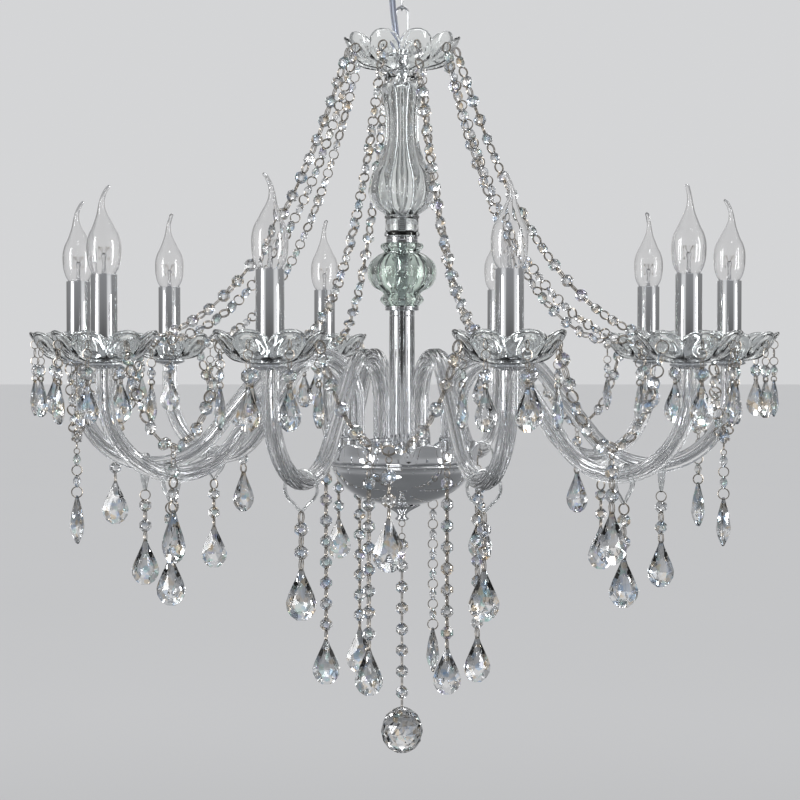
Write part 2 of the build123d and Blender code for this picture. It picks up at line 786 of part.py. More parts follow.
# A swag hangs between the side holes of two pans, with a pendant at its middle
half_step = radians(180 / arm_count)
swag_radius = reach * cos(half_step) + pan_hole_radius * sin(half_step)
swag_half_span = reach * sin(half_step) - pan_hole_radius * cos(half_step)
swag_curve = catenary_constant(swag_half_span, swag_sag)
swag_half_length = swag_curve * sinh(swag_half_span / swag_curve)
swag_link = (2 * swag_half_length - swag_beads * bead_size) / (swag_beads + 1)
swag_bottom = pan_hook - swag_sag
print(f"swag: {2 * swag_half_length:.0f} mm, links {swag_link:.2f} mm")

for number, angle in enumerate(arm_angles, start=1):
    middle_angle = angle + 180 / arm_count
    with BuildPart() as swag:
        chord = Plane(origin=(swag_radius, 0, swag_bottom), x_dir=(0, 1, 0), z_dir=(0, 0, 1))
        pitch = bead_size + swag_link
        bars = [
            catenary_plane(swag_curve, count * pitch - swag_half_length, False)
            for count in range(swag_beads + 1)
        ]
        middles = [count * pitch - bead_size / 2 - swag_half_length for count in range(1, swag_beads + 1)]
        beads = [catenary_plane(swag_curve, place, count % 2 == 0) for count, place in enumerate(middles)]
        with PolarLocations(0, 1, start_angle=middle_angle):
            with Locations(chord):
                with Locations(*bars):
                    add(link_bar(swag_link))
                with Locations(*beads):
                    add(bead.part)
            pendant_top = swag_bottom - ring_drop
            pear_top = hang_strand(
                pendant_top, pendant_beads, pendant_first_link, bead_link, swag_radius, turn=0
            )
            with Locations(hanging(pear_top, 0, swag_radius)):
                add(large_pear)
    swag.part.label = f"swag_{number}"
    export_step(swag.part, f"parts/swag_{number}.step")

# ---------------------------------------------------------------- drops on the arms
# A clip hangs on the low bend of each arm and carries two beads and a pear
clip_corner_turns = range(-10, 191, 40)
clip_corner = clip_width / 2 / cos(radians(clip_corner_turns[0]))
half_facet = radians(clip_corner_turns.step / 2)
clip_hole_corner = clip_corner - clip_wall / cos(half_facet)

# The hole's flat top clears the arm's upper ridge, which rises across the band
clip_place = reach - clip_inset
clip_edge = clip_place + clip_band / 2
ridge_radius = sweep_radius - arm_radius
arm_ridge = sweep_middle.Y - sqrt(ridge_radius**2 - (clip_edge - sweep_middle.X) ** 2)
clip_top = arm_ridge + seat_gap
clip_middle = clip_top - clip_hole_corner * cos(half_facet)
clip_tip = clip_top + clip_wall - clip_tail


def clip_points(corner_radius):
    """The round part of the clip, from one end of its V to the other."""
    turns = [radians(turn) for turn in clip_corner_turns]
    return [(corner_radius * cos(turn), clip_middle + corner_radius * sin(turn)) for turn in turns]


with BuildPart() as arm_clip:
    with BuildSketch(Plane.YZ.offset(clip_place)):
        Polygon(*clip_points(clip_corner), (0, clip_tip), align=None)
        Polygon(*clip_points(clip_hole_corner), (0, clip_tip + 3 * clip_wall), align=None, mode=Mode.SUBTRACT)
    extrude(amount=clip_band / 2, both=True)

for number, angle in enumerate(arm_angles, start=1):
    with BuildPart() as arm_drop:
        with PolarLocations(0, 1, start_angle=angle):
            add(arm_clip.part)
            pear_top = hang_strand(clip_tip - running_gap, 2, bead_link, bead_link, clip_place, turn=0)
            with Locations(hanging(pear_top, 0, clip_place)):
                add(large_pear)
    arm_drop.part.label = f"arm_drop_{number}"
    export_step(arm_drop.part, f"parts/arm_drop_{number}.step")

# ---------------------------------------------------------------- strands under the hub
strand_radius = plate_radius * plate_notch + wire_radius + seat_gap
strand_top = hub_floor + plate_rim_height - ring_drop
for number in range(hub_strand_count):
    with BuildPart() as hub_strand:
        with PolarLocations(0, 1, start_angle=first_hub_strand_angle + 360 / hub_strand_count * number):
            pear_top = hang_strand(
                strand_top, hub_strand_beads, hub_strand_first_link, hub_strand_link, strand_radius, turn=0
            )
            with Locations(hanging(pear_top, 0, strand_radius)):
                add(large_pear)
    hub_strand.part.label = f"hub_strand_{number + 1}"
    export_step(hub_strand.part, f"parts/hub_strand_{number + 1}.step")

# Middle strand with the cut ball at its end
crystal_ball_shape = [(0.12, 0), (0.72, 0.2), (1, 0.55), (0.72, 0.87), (0.1, 1)]
with BuildPart() as centre_strand:
    crystal_top = hang_strand(
        finial_bottom - 2 * seat_gap, hub_strand_beads, centre_first_link, centre_link, turn=90
    )
    crystal_sections = [
        (width * crystal_ball_radius, crystal_top - drop * crystal_ball_height)
        for width, drop in crystal_ball_shape
    ]
    add(turned(crystal_sections, crystal_ball_sides))
centre_strand.part.label = "centre_strand"
export_step(centre_strand.part, "parts/centre_strand.step")

print(f"ceiling to the bow {-bow_top - bow_wire:.1f}, to the hub {-hub_floor:.1f}")
print(f"ceiling to the lowest crystal {crystal_ball_height - crystal_top:.1f}")
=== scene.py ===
# %% [markdown]
# # A ten-arm crystal chandelier
# The model comes in as a fixed frame: every solid at its real size, in metres, with the ceiling at
# height 0 and the stem on the Z axis.  This lesson dresses that frame.  Each finish is a small tree
# of shader nodes, and each piece is a mesh worked out from the frame's own boxes.

from math import asinh, atan, atan2, cos, cosh, degrees, hypot, pi, radians, sin, sinh, sqrt, tanh

import bmesh
import bpy
import numpy as np
from mathutils import Matrix, Vector


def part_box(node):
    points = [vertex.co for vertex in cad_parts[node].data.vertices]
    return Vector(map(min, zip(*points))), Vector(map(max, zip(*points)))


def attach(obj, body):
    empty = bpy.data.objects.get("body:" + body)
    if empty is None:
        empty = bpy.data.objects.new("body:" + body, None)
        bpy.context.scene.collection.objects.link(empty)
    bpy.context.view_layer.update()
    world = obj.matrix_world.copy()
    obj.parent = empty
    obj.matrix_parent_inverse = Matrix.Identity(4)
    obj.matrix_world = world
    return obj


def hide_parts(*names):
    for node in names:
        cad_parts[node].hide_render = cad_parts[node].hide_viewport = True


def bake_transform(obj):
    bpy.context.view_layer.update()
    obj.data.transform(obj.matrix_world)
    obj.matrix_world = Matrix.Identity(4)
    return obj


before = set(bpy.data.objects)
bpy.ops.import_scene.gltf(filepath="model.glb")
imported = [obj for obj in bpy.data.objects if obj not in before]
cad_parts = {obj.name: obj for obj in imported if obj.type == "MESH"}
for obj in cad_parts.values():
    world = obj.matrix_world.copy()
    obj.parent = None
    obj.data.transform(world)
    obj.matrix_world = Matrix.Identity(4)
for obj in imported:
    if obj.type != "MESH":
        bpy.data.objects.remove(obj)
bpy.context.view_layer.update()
mm = 0.001

# %% [markdown]
# ## The camera
# A camera is placed by three facts of the picture: how far the lamp is, how high the lens stands,
# and how many pixels wide one metre looks.  The lens stands level with the middle of the stem and
# looks slightly down, so the horizon lies above the middle row of the picture.

# %% Camera
picture_width = 800
horizon_row = 345
focal_pixels = 1918
sensor_width = 36
lens_place = Vector((-2.1, -2047, -474.8)) * mm
lens_tilt = atan((picture_width / 2 - horizon_row) / focal_pixels)

camera_data = bpy.data.cameras.new("camera")
camera_data.sensor_width = sensor_width
camera_data.lens = focal_pixels / picture_width * sensor_width
camera = bpy.data.objects.new("camera", camera_data)
camera.location = lens_place
camera.rotation_euler = (pi / 2 - lens_tilt, 0, 0)
bpy.context.scene.collection.objects.link(camera)
bpy.context.scene.camera = camera
bpy.context.scene.view_settings.view_transform = "Standard"
print(f"lens {camera_data.lens:.1f} mm, tilt {lens_tilt:.4f} rad")


# %% [markdown]
# ## Shader sums
# A finish is easier to read as a sum than as a web of nodes.  `Value` wraps one output socket, so
# `0.05 + 0.1 * noise` adds its Math nodes by itself.  `Finish.node` adds any other node: its
# settings come first, then the values or links of its sockets.

# %% Sums of sockets, and node trees
class Value:
    """One output socket; each operator adds the Math node that it stands for."""

    def __init__(self, finish, socket):
        self.finish = finish
        self.socket = socket

    def math(self, operation, first, second=0.0):
        return self.finish.node("ShaderNodeMath", {"operation": operation}, {0: first, 1: second})

    def __add__(self, other):
        return self.math("ADD", self, other)

    def __radd__(self, other):
        return self.math("ADD", other, self)

    def __sub__(self, other):
        return self.math("SUBTRACT", self, other)

    def __rsub__(self, other):
        return self.math("SUBTRACT", other, self)

    def __mul__(self, other):
        return self.math("MULTIPLY", self, other)

    def __rmul__(self, other):
        return self.math("MULTIPLY", other, self)


class Finish:
    """A node tree, with one method that adds any node."""

    def __init__(self, tree):
        self.tree = tree
        tree.nodes.clear()

    def node(self, kind, settings, sockets, output=0):
        node = self.tree.nodes.new(kind)
        for name, value in settings.items():
            if name == "stops":
                self.set_stops(node.color_ramp, value)
            else:
                setattr(node, name, value)
        for name, value in sockets.items():
            if isinstance(value, Value):
                self.tree.links.new(value.socket, node.inputs[name])
            else:
                node.inputs[name].default_value = value
        return Value(self, node.outputs[output]) if node.outputs else node

    def set_stops(self, ramp, stops):
        while len(ramp.elements) < len(stops):
            ramp.elements.new(0.5)
        for element, (place, colour) in zip(ramp.elements, stops):
            element.position = place
            element.color = (*colour, 1)

    def coordinates(self, kind="Object"):
        return self.node("ShaderNodeTexCoord", {}, {}, kind)

    def is_ray(self, kind):
        return self.node("ShaderNodeLightPath", {}, {}, f"Is {kind} Ray")

    def noise(self, scale, detail=2.0):
        sockets = {"Vector": self.coordinates(), "Scale": scale, "Detail": detail}
        return self.node("ShaderNodeTexNoise", {}, sockets)

    def blend(self, share, first, second):
        """A mixed colour; each of the two is a link or a (red, green, blue)."""
        ends = [end if isinstance(end, Value) else (*end, 1) for end in (first, second)]
        sockets = {0: share, 6: ends[0], 7: ends[1]}
        return self.node("ShaderNodeMix", {"data_type": "RGBA"}, sockets, 2)

    def bump(self, height, strength, distance):
        sockets = {"Height": height, "Strength": strength, "Distance": distance}
        return self.node("ShaderNodeBump", {}, sockets)


def make_finish(name, build):
    """A material whose surface is the shader that build adds."""
    material = bpy.data.materials.new(name)
    material.use_nodes = True
    finish = Finish(material.node_tree)
    finish.node("ShaderNodeOutputMaterial", {}, {"Surface": build(finish)})
    return material


# %% [markdown]
# ## Chrome and wire
# Polished chrome is almost a mirror.  What makes it look real is what is slightly wrong with it:
# a thin film of haze that softens some reflections, and a surface that isn't perfectly even.  The
# jump rings are cheaper wire with a warm, brownish plating.

# %% Metal finishes
def metal(colour, haze_colour, roughness, haze, grain):
    """Metal with a cloudy film of haze, and a fine unevenness of the surface."""

    def build(finish):
        film = finish.noise(38, 4)
        fine = finish.noise(grain, 3)
        return finish.node("ShaderNodeBsdfPrincipled", {}, {
            "Base Color": finish.blend(film, colour, haze_colour),
            "Metallic": 1.0,
            "Roughness": roughness + haze * film,
            "Normal": finish.bump(fine, 0.06, 0.0002),
        })

    return build


chrome = make_finish(
    "polished_chrome", metal((0.87, 0.88, 0.89), (0.76, 0.77, 0.79), 0.015, 0.06, 300))
ring_wire = make_finish(
    "ring_wire", metal((0.62, 0.57, 0.50), (0.34, 0.30, 0.26), 0.14, 0.2, 900))
zinc = make_finish(
    "zinc_steel", metal((0.60, 0.61, 0.62), (0.42, 0.43, 0.45), 0.32, 0.25, 700))
tungsten = make_finish(
    "filament_wire", metal((0.55, 0.50, 0.45), (0.35, 0.32, 0.30), 0.25, 0.2, 2000))


# %% [markdown]
# ## Glass
# Pressed glass is clear but never flat: the mould leaves it slightly wavy, and a faint grey-green
# shows where it is thick.  The noise here moves the normal by a little, so that what is seen
# through the glass swims.  The crystals are a heavier glass, so they bend light more, and they are
# cut so that each facet throws another colour: small patches of blue, amber, green and violet in
# an almost white glass stand for that.

# %% Glass finishes
def glass(colour, deep_colour, index, roughness, wave_scale, wave_strength):
    """Clear glass with two tints that drift into each other and a moulded waviness."""

    def build(finish):
        drift = finish.noise(26, 2)
        wave = finish.noise(wave_scale, 2)
        return finish.node("ShaderNodeBsdfPrincipled", {}, {
            "Base Color": finish.blend(drift, colour, deep_colour),
            "Roughness": roughness * drift,
            "IOR": index,
            "Transmission Weight": 1.0,
            "Normal": finish.bump(wave, wave_strength, 0.001),
        })

    return build


def crystal_glass(finish):
    """Heavy cut glass: mostly white, with patches that flash in colour."""
    sockets = {"Vector": finish.coordinates(), "Scale": 190.0}
    cell = finish.node("ShaderNodeTexVoronoi", {}, sockets, "Color")
    pick = finish.node("ShaderNodeSeparateColor", {}, {"Color": cell}, "Red")
    stops = [
        (0.0, (0.99, 0.99, 0.99)),
        (0.60, (0.96, 0.97, 0.98)),
        (0.68, (0.45, 0.66, 0.98)),
        (0.74, (0.97, 0.97, 0.97)),
        (0.83, (0.98, 0.72, 0.42)),
        (0.88, (0.98, 0.98, 0.97)),
        (0.95, (0.55, 0.88, 0.80)),
        (1.0, (0.70, 0.60, 0.96)),
    ]
    tint = finish.node("ShaderNodeValToRGB", {"stops": stops}, {"Fac": pick})
    return finish.node("ShaderNodeBsdfPrincipled", {}, {
        "Base Color": tint,
        "Roughness": 0.02 * pick,
        "IOR": 1.62,
        "Transmission Weight": 1.0,
    })


clear_glass = make_finish(
    "clear_glass", glass((0.975, 0.985, 0.985), (0.925, 0.95, 0.945), 1.5, 0.03, 90, 0.12))
arm_glass = make_finish(
    "arm_glass", glass((0.98, 0.985, 0.99), (0.94, 0.95, 0.965), 1.5, 0.02, 60, 0.05))
green_glass = make_finish(
    "green_glass", glass((0.91, 0.965, 0.93), (0.84, 0.93, 0.875), 1.5, 0.03, 90, 0.12))
bulb_glass = make_finish(
    "bulb_glass", glass((0.97, 0.97, 0.97), (0.92, 0.92, 0.93), 1.45, 0.01, 30, 0.03))
crystal = make_finish("cut_crystal", crystal_glass)


# %% [markdown]
# ## Plastic
# The lamp holders are heat-proof moulded plastic, the wires in the arms have a white sleeve, and
# the lead beside the chain is clear vinyl with a bluish cast, with tinned strands inside it.

# %% Plastic finishes
def plastic(colour, worn_colour, roughness, grain):
    """Moulded plastic: faint clouds in its colour and a fine grain."""

    def build(finish):
        cloud = finish.noise(70, 3)
        fine = finish.noise(grain, 2)
        return finish.node("ShaderNodeBsdfPrincipled", {}, {
            "Base Color": finish.blend(cloud, colour, worn_colour),
            "Roughness": roughness + 0.15 * cloud,
            "Normal": finish.bump(fine, 0.1, 0.0002),
        })

    return build


def clear_vinyl(finish):
    cloud = finish.noise(120, 2)
    return finish.node("ShaderNodeBsdfPrincipled", {}, {
        "Base Color": finish.blend(cloud, (0.62, 0.70, 0.90), (0.80, 0.84, 0.94)),
        "Roughness": 0.12 + 0.1 * cloud,
        "IOR": 1.5,
        "Transmission Weight": 0.85,
    })


holder_plastic = make_finish(
    "holder_plastic", plastic((0.86, 0.84, 0.78), (0.76, 0.74, 0.68), 0.42, 900))
wire_sleeve = make_finish(
    "wire_sleeve", plastic((0.93, 0.93, 0.92), (0.84, 0.84, 0.84), 0.35, 900))
lead_vinyl = make_finish("lead_vinyl", clear_vinyl)
tinned_strand = make_finish(
    "tinned_strand", metal((0.52, 0.50, 0.50), (0.32, 0.31, 0.33), 0.3, 0.2, 2500))


# %% [markdown]
# ## Shapes as rings of points
# Nearly everything on this lamp is a ring of points carried along a line: a turned profile, a
# fluted vase, a bent tube, a jump ring.  So one function skins a list of rings, and the others only
# say where the rings stand.  A shape is a pair of points and faces until it becomes a piece.

# %% Skins, copies and pieces
def skin(rings, looped=False):
    """Points and faces through rings of equal length; a looped skin closes on its first ring."""
    count = len(rings[0])
    starts = [number * count for number in range(len(rings))]
    pairs = list(zip(starts, starts[1:]))
    if looped:
        pairs.append((starts[-1], 0))
    faces = []
    for low, high in pairs:
        for number in range(count):
            after = (number + 1) % count
            faces.append((low + number, low + after, high + after, high + number))
    if not looped:
        faces.append(tuple(reversed(range(count))))
        faces.append(tuple(range(starts[-1], starts[-1] + count)))
    return np.concatenate([np.array(ring, float) for ring in rings]), faces


def joined(shapes):
    """Several shapes as one."""
    points = []
    faces = []
    start = 0
    for shape_points, shape_faces in shapes:
        points.append(shape_points)
        faces += [tuple(corner + start for corner in face) for face in shape_faces]
        start += len(shape_points)
    return np.concatenate(points), faces


def copied(shape, places):
    """A copy of the shape at each place, which is a 4 x 4 matrix."""
    points, faces = shape
    copies = []
    for place in places:
        matrix = np.array(place)
        copies.append((points @ matrix[:3, :3].T + matrix[:3, 3], faces))
    return joined(copies)


def piece(name, shape, finish, nodes=(), crease=None, body="chandelier"):
    """A mesh object that rides on a body and replaces nodes of the frame.

    Edges sharper than crease degrees stay crisp.  A piece with no body is not attached to one.
    """
    points, faces = shape
    mesh = bpy.data.meshes.new(name)
    mesh.from_pydata(points.tolist(), [], faces)
    work = bmesh.new()
    work.from_mesh(mesh)
    bmesh.ops.recalc_face_normals(work, faces=work.faces)
    work.to_mesh(mesh)
    work.free()
    if crease is not None:
        mesh.shade_smooth()
        mesh.set_sharp_from_angle(angle=radians(crease))
    mesh.materials.append(finish)
    made = bpy.data.objects.new(name, mesh)
    bpy.context.scene.collection.objects.link(made)
    if body:
        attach(made, body)
    if nodes:
        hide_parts(*nodes)
    print(f"{name}: {len(mesh.vertices)} points")
    return made


# %% Lines
def smooth(points, steps=5):
    """A finer line that runs smoothly through the given points."""
    known = [np.array(point, float) for point in points]
    known = [2 * known[0] - known[1], *known, 2 * known[-1] - known[-2]]
    line = []
    for before, here, there, after in zip(known, known[1:], known[2:], known[3:]):
        for number in range(steps):
            share = number / steps
            straight = (there - before) * share
            bend = (2 * before - 5 * here + 4 * there - after) * share**2
            twist = (3 * here - 3 * there + after - before) * share**3
            line.append((2 * here + straight + bend + twist) / 2)
    line.append(known[-2])
    return line


def arc(middle, radius, start, end, steps):
    """Points on an arc, as pairs, with its angles in degrees."""
    turns = [radians(start + (end - start) * number / steps) for number in range(steps + 1)]
    return [(middle[0] + radius * cos(turn), middle[1] + radius * sin(turn)) for turn in turns]


def round_turns(count, shift=0.0):
    """Angles of even places round a circle, moved on by a share of their step."""
    return [2 * pi * (number + shift) / count for number in range(count)]


def circle(radius, count, across=0.0, along=0.0):
    """Section points of a round wire, which may lie beside the middle of its path."""
    turns = round_turns(count)
    return [(across + radius * cos(turn), along + radius * sin(turn)) for turn in turns]


def level_ring(radius, height, turns):
    """Points round the Z axis at one height."""
    return [(radius * cos(turn), radius * sin(turn), height) for turn in turns]


# %% [markdown]
# A tube could be a curve with a bevel, and a bowl a profile with a Screw modifier.  Worked out as
# meshes, both give exactly the points that are wanted, and need no modifiers.

# %% Sweeps and turned shapes
def swept(path, section, normal, looped=False):
    """A section carried along a path that lies in the plane with the given normal."""
    path = [Vector(point) for point in path]
    normal = Vector(normal).normalized()
    rings = []
    for number, point in enumerate(path):
        last = len(path) - 1
        before = path[number - 1] if looped or number else path[0]
        after = path[(number + 1) % len(path)] if looped or number < last else path[last]
        side = normal.cross((after - before).normalized())
        rings.append([point + side * across + normal * along for across, along in section])
    return skin(rings, looped)


def turned(profile, segments=48, looped=True):
    """A profile of (radius, height) pairs turned about the Z axis."""
    turns = round_turns(segments)
    return skin([level_ring(radius, height, turns) for radius, height in profile], looped)


# %% [markdown]
# ## Heights and places from the frame
# The stem is stacked from the ceiling down, so each piece's box gives its top and bottom.  The arms
# stand 36 degrees apart, and a place on an arm is found by turning a point about the stem.

# %% Heights and places
def bottom_of(node):
    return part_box(node)[0].z


def top_of(node):
    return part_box(node)[1].z


arm_count = 10
first_arm_turn = radians(-110)
arm_turns = [first_arm_turn + 2 * pi * number / arm_count for number in range(arm_count)]
arm_places = [Matrix.Rotation(turn, 4, "Z") for turn in arm_turns]
reach = 347 * mm
pan_places = [place @ Matrix.Translation((reach, 0, 0)) for place in arm_places]
ring_drop = 1 * mm
bead_size = 14 * mm
rod_hole = 5.3 * mm

hub_floor = bottom_of("stem_tube")
dish_bottom = bottom_of("crown_dish")
vase_top = top_of("stem_vase")
vase_bottom = bottom_of("stem_vase")
ball_top = top_of("stem_ball")
ball_bottom = bottom_of("stem_ball")
pan_bottom = bottom_of("drip_pans")
print(f"hub {hub_floor:.4f}, vase {vase_top:.4f} to {vase_bottom:.4f}, pans {pan_bottom:.4f}")

# %% [markdown]
# ## The lead
# The lamp is fed by a flat clear lead of two cores, from the canopy to the cap of the stem: about
# 140 mm of it, all held between its two ends.  Its route is the same list of points as the solid's.
# They are the control points of one smooth spline, and the mesh follows points read from it.

# %% Lead line
lead_route = [
    (-11.6, 0, -24),
    (-12.2, 0, -73.2),
    (-9.95, -3.7, -117.9),
    (-6.8, -5.4, -141),
    (-4.4, -5, -162),
]


def spline_points(name, route):
    """Points read from one smooth spline with the route's points as its control points."""
    curve = bpy.data.curves.new(name, "CURVE")
    curve.dimensions = "3D"
    curve.resolution_u = 16
    spline = curve.splines.new("NURBS")
    spline.points.add(len(route) - 1)
    for point, place in zip(spline.points, route):
        point.co = (*(Vector(place) * mm), 1)
    spline.order_u = 3
    spline.use_endpoint_u = True
    holder = bpy.data.objects.new(name, curve)
    bpy.context.scene.collection.objects.link(holder)
    bpy.context.view_layer.update()
    line = bpy.data.meshes.new_from_object(holder)
    points = [vertex.co.copy() for vertex in line.vertices]
    bpy.data.objects.remove(holder)
    bpy.data.meshes.remove(line)
    return points


lead_line = spline_points("lead_line", lead_route)
lead_length = sum((after - before).length for before, after in zip(lead_line, lead_line[1:]))
print(f"lead {lead_length * 1000:.0f} mm long")

# %% [markdown]
# A bevel on the spline would make the lead round.  The real one is two round cores side by side in
# flat vinyl, so its section has two lobes and a waist, and the cores show through as thin strands.

# %% Lead and its cores
lead_width = 6.6 * mm
lead_thickness = 3.3 * mm
lobe = (lead_width - lead_thickness) / 2
waist = 0.42 * lead_thickness
lead_section = []
for turn in map(radians, range(0, 360, 15)):
    side = 1 if cos(turn) >= 0 else -1
    across = side * lobe + lead_thickness / 2 * cos(turn)
    lead_section.append((across, lead_thickness / 2 * sin(turn)))
lead_section.insert(7, (0, waist))
lead_section.insert(20, (0, -waist))
lead_shape = swept(lead_line, lead_section, (0, 1, 0))
core_radius = 0.75 * mm
cores = [swept(lead_line, circle(core_radius, 10, side * lobe), (0, 1, 0)) for side in (-1, 1)]
lead = piece("clear_lead", lead_shape, lead_vinyl, [], 180, None)
lead_cores = piece("lead_cores", joined(cores), tinned_strand, [], 180, None)

for part in (lead, lead_cores):
    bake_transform(part)
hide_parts("lead_upper", "lead_lower")
tuple(lead_line[0])
[tuple(point) for point in lead_line]

# %% [markdown]
# ## Ceiling fixing and chain
# Above the picture's edge the lamp has what such lamps have: a strap on two screws, an eye hook
# with its nuts, a dished canopy, and a chain of two long links.  Wires are swept round sections,
# and the canopy is a turned shell.  The strap keeps its solid, which is right, in better steel.

# %% Canopy and strap
def scaled(keys, radius, base, height):
    """Real points from keys that hold shares: of a radius, and of a height from a base."""
    return [(width * radius, base + rise * height, *rest) for width, rise, *rest in keys]


canopy_low, canopy_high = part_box("ceiling_canopy")
canopy_radius = canopy_high.x
canopy_depth = canopy_high.z - canopy_low.z
hook_hole = 4.3 * mm
canopy_wall = 1.5 * mm
canopy_keys = [(hook_hole / canopy_radius, -1), (0.3, -1), (0.52, -0.96), (0.76, -0.8),
               (0.93, -0.48), (0.985, -0.14), (1, -0.04)]
canopy_outside = scaled(smooth(canopy_keys), canopy_radius, 0, canopy_depth)
canopy_inside = [(max(radius - canopy_wall, hook_hole), min(height + canopy_wall, 0))
                 for radius, height in reversed(canopy_outside)]
canopy_edge = [(canopy_radius, 0), (canopy_radius - canopy_wall, 0)]
canopy_shape = turned([*canopy_outside, *canopy_edge, *canopy_inside], 72)
piece("canopy", canopy_shape, chrome, ["ceiling_canopy"], 35, "ceiling_fixing")
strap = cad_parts["ceiling_bracket"]
strap.data.materials.clear()
strap.data.materials.append(zinc)


# %% [markdown]
# A screw thread could be a true helix.  At this size a stack of level ridges looks the same and
# closes without a seam, so every thread on this lamp is part of a turned profile.

# %% Hook
def ridges(first, pitch, count, steps):
    """A few (radius, rise) steps that repeat up a profile, as on a thread."""
    starts = [first + number * pitch for number in range(count)]
    return [(radius, start + rise) for start in starts for radius, rise in steps]


hook_low, hook_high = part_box("ceiling_hook")
eye_wire = 2.5 * mm
eye_radius = 9 * mm
eye_middle = hook_low.z + eye_wire + eye_radius
eye_line = [(0, x, z) for x, z in arc((0, eye_middle), eye_radius, 0, 354, 59)]
thread_radius = 4 * mm
root_radius = 3.4 * mm
thread_pitch = 1.25 * mm
shank_foot = eye_middle + eye_radius - 1 * mm
thread_count = int((hook_high.z - shank_foot) / thread_pitch)
thread_steps = [(root_radius, -0.3 * thread_pitch), (thread_radius, 0)]
thread = ridges(shank_foot + thread_pitch, thread_pitch, thread_count - 1, thread_steps)
hook_shape = joined([
    swept(eye_line, circle(eye_wire, 14), (1, 0, 0), looped=True),
    turned([(root_radius, shank_foot), *thread], 20, looped=False),
])
piece("eye_hook", hook_shape, chrome, ["ceiling_hook"], 50, "ceiling_fixing")


# %% Nuts
def nut(radius, sides, low, high, bore):
    """A nut with chamfered corners, turned from its bore outwards."""
    chamfer = 0.14 * (high - low)
    flat = 0.88 * radius
    profile = [(bore, low), (flat, low), (radius, low + chamfer), (radius, high - chamfer),
               (flat, high), (bore, high)]
    return turned(profile, sides)


bridge_top = -9 * mm
nut_height = 6 * mm
nut_bore = 4.1 * mm
nuts_shape = joined([
    nut(8 * mm, 6, bridge_top, bridge_top + nut_height, nut_bore),
    nut(7 * mm, 18, canopy_low.z - nut_height, canopy_low.z, nut_bore),
])
piece("hook_nuts_turned", nuts_shape, zinc, ["hook_nuts"], 25, "ceiling_fixing")


# %% [markdown]
# Each link is one closed sweep: a half circle at each end and the straight runs between them.  The
# second link stands square to the first, as links do.

# %% Chain links
def wire_loop(width, wire, low, high):
    """Centre line of a long link, as (across, height) pairs."""
    bend = width / 2 - wire
    top = arc((0, high - wire - bend), bend, 0, 180, 16)
    foot = arc((0, low + wire + bend), bend, 180, 360, 16)
    return [*top, *foot]


links_low, links_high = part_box("chain_links")
link_wire = 1.5 * mm
link_width = 16 * mm
link_length = 38 * mm
upper_loop = wire_loop(link_width, link_wire, links_high.z - link_length, links_high.z)
lower_loop = wire_loop(link_width, link_wire, links_low.z, links_low.z + link_length)
upper_link = [(x, 0, z) for x, z in upper_loop]
lower_link = [(0, y, z) for y, z in lower_loop]
links_shape = joined([
    swept(upper_link, circle(link_wire, 12), (0, 1, 0), looped=True),
    swept(lower_link, circle(link_wire, 12), (1, 0, 0), looped=True),
])
piece("chain_wire", links_shape, chrome, ["chain_links"], 60, "chain")

# %% [markdown]
# ## The stem
# From the top: a bow of wire on a turned cap, the crown dish, a cut collar, a fluted vase, a clear
# collar with a chrome ring, a green melon-shaped ball, and a tube down to the hub.  Vase and ball
# are blown, so they are shells, and the rod that ties the stem together shows through them.

# %% Bow and cap
def stepped(radius, height, steps):
    """Points at the edge of a profile, as steps in millimetres from a radius and a height."""
    return [(radius + out * mm, height + up * mm) for out, up in steps]


bow_low, bow_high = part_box("stem_bow")
bow_wire = 1.4 * mm
bow_bend = 6.3 * mm
bow_foot = bow_low.z + 18 * mm
bow_top = [(x, 0, z) for x, z in
           arc((0, bow_high.z - bow_wire - bow_bend), bow_bend, 0, 180, 24)]
bow_line = [(bow_bend, 0, bow_foot), *bow_top, (-bow_bend, 0, bow_foot)]
cap_steps = [(5.2, 0), (9.2, 0), (9.5, 0.5), (9.5, 2.2), (8, 3), (6.4, 3.6), (6.2, 9), (7.4, 10),
             (9.2, 10.6), (9.4, 11.4), (9.4, 16.6), (9, 17.6), (8.2, 18), (2, 18), (2, 12),
             (5.2, 10)]
bow_shape = joined([
    swept(bow_line, circle(bow_wire, 12), (0, 1, 0)),
    turned(stepped(0, bow_low.z, cap_steps), 40),
])
piece("bow_and_cap", bow_shape, chrome, ["stem_bow"], 40)


# %% [markdown]
# Crown dish and drip pans are the same kind of pressed glass: petals that bulge between sharp
# notches, lower at the notch than at the middle, with a thick rolled lip, and a swirl pressed into
# each petal.  The swirl is a spiral band that stands out by less than a millimetre.

# %% Petals
def petalled(profile, petals, notch, drop=0.0, steps=12, start=0.0, looped=True, relief=None):
    """A turned profile whose petals bulge between notches.

    Each profile point is (radius, height, share): share says how much of the notch's depth and
    of its drop reaches that point.  A fourth value marks the plain inside, which has no relief.
    """
    roundness = 0.4
    rings = []
    for radius, height, share, *plain_side in profile:
        ring = []
        for number in range(petals * steps):
            across = 2 * (number % steps) / steps - 1
            round_hollow = 1 - sqrt(max(0.0, 1 - across**2))
            hollow = (1 - roundness) * across**2 + roundness * round_hollow
            turn = start + 2 * pi * (number / steps - 0.5) / petals
            reach_here = radius * (1 - notch * share * hollow)
            if relief and not plain_side:
                reach_here += relief(across, share)
            lowered = height - drop * share * hollow
            ring.append((reach_here * cos(turn), reach_here * sin(turn), lowered))
        rings.append(ring)
    return skin(rings, looped)


# %% Pressed glass dishes
def rolled_lip(radius, height, lip):
    """The rounded edge of a dish whose rim reaches this radius and height."""
    edge = arc((radius - lip, height - lip), lip, -30, 210, 6)
    return [(x, z, 1) for x, z in edge]


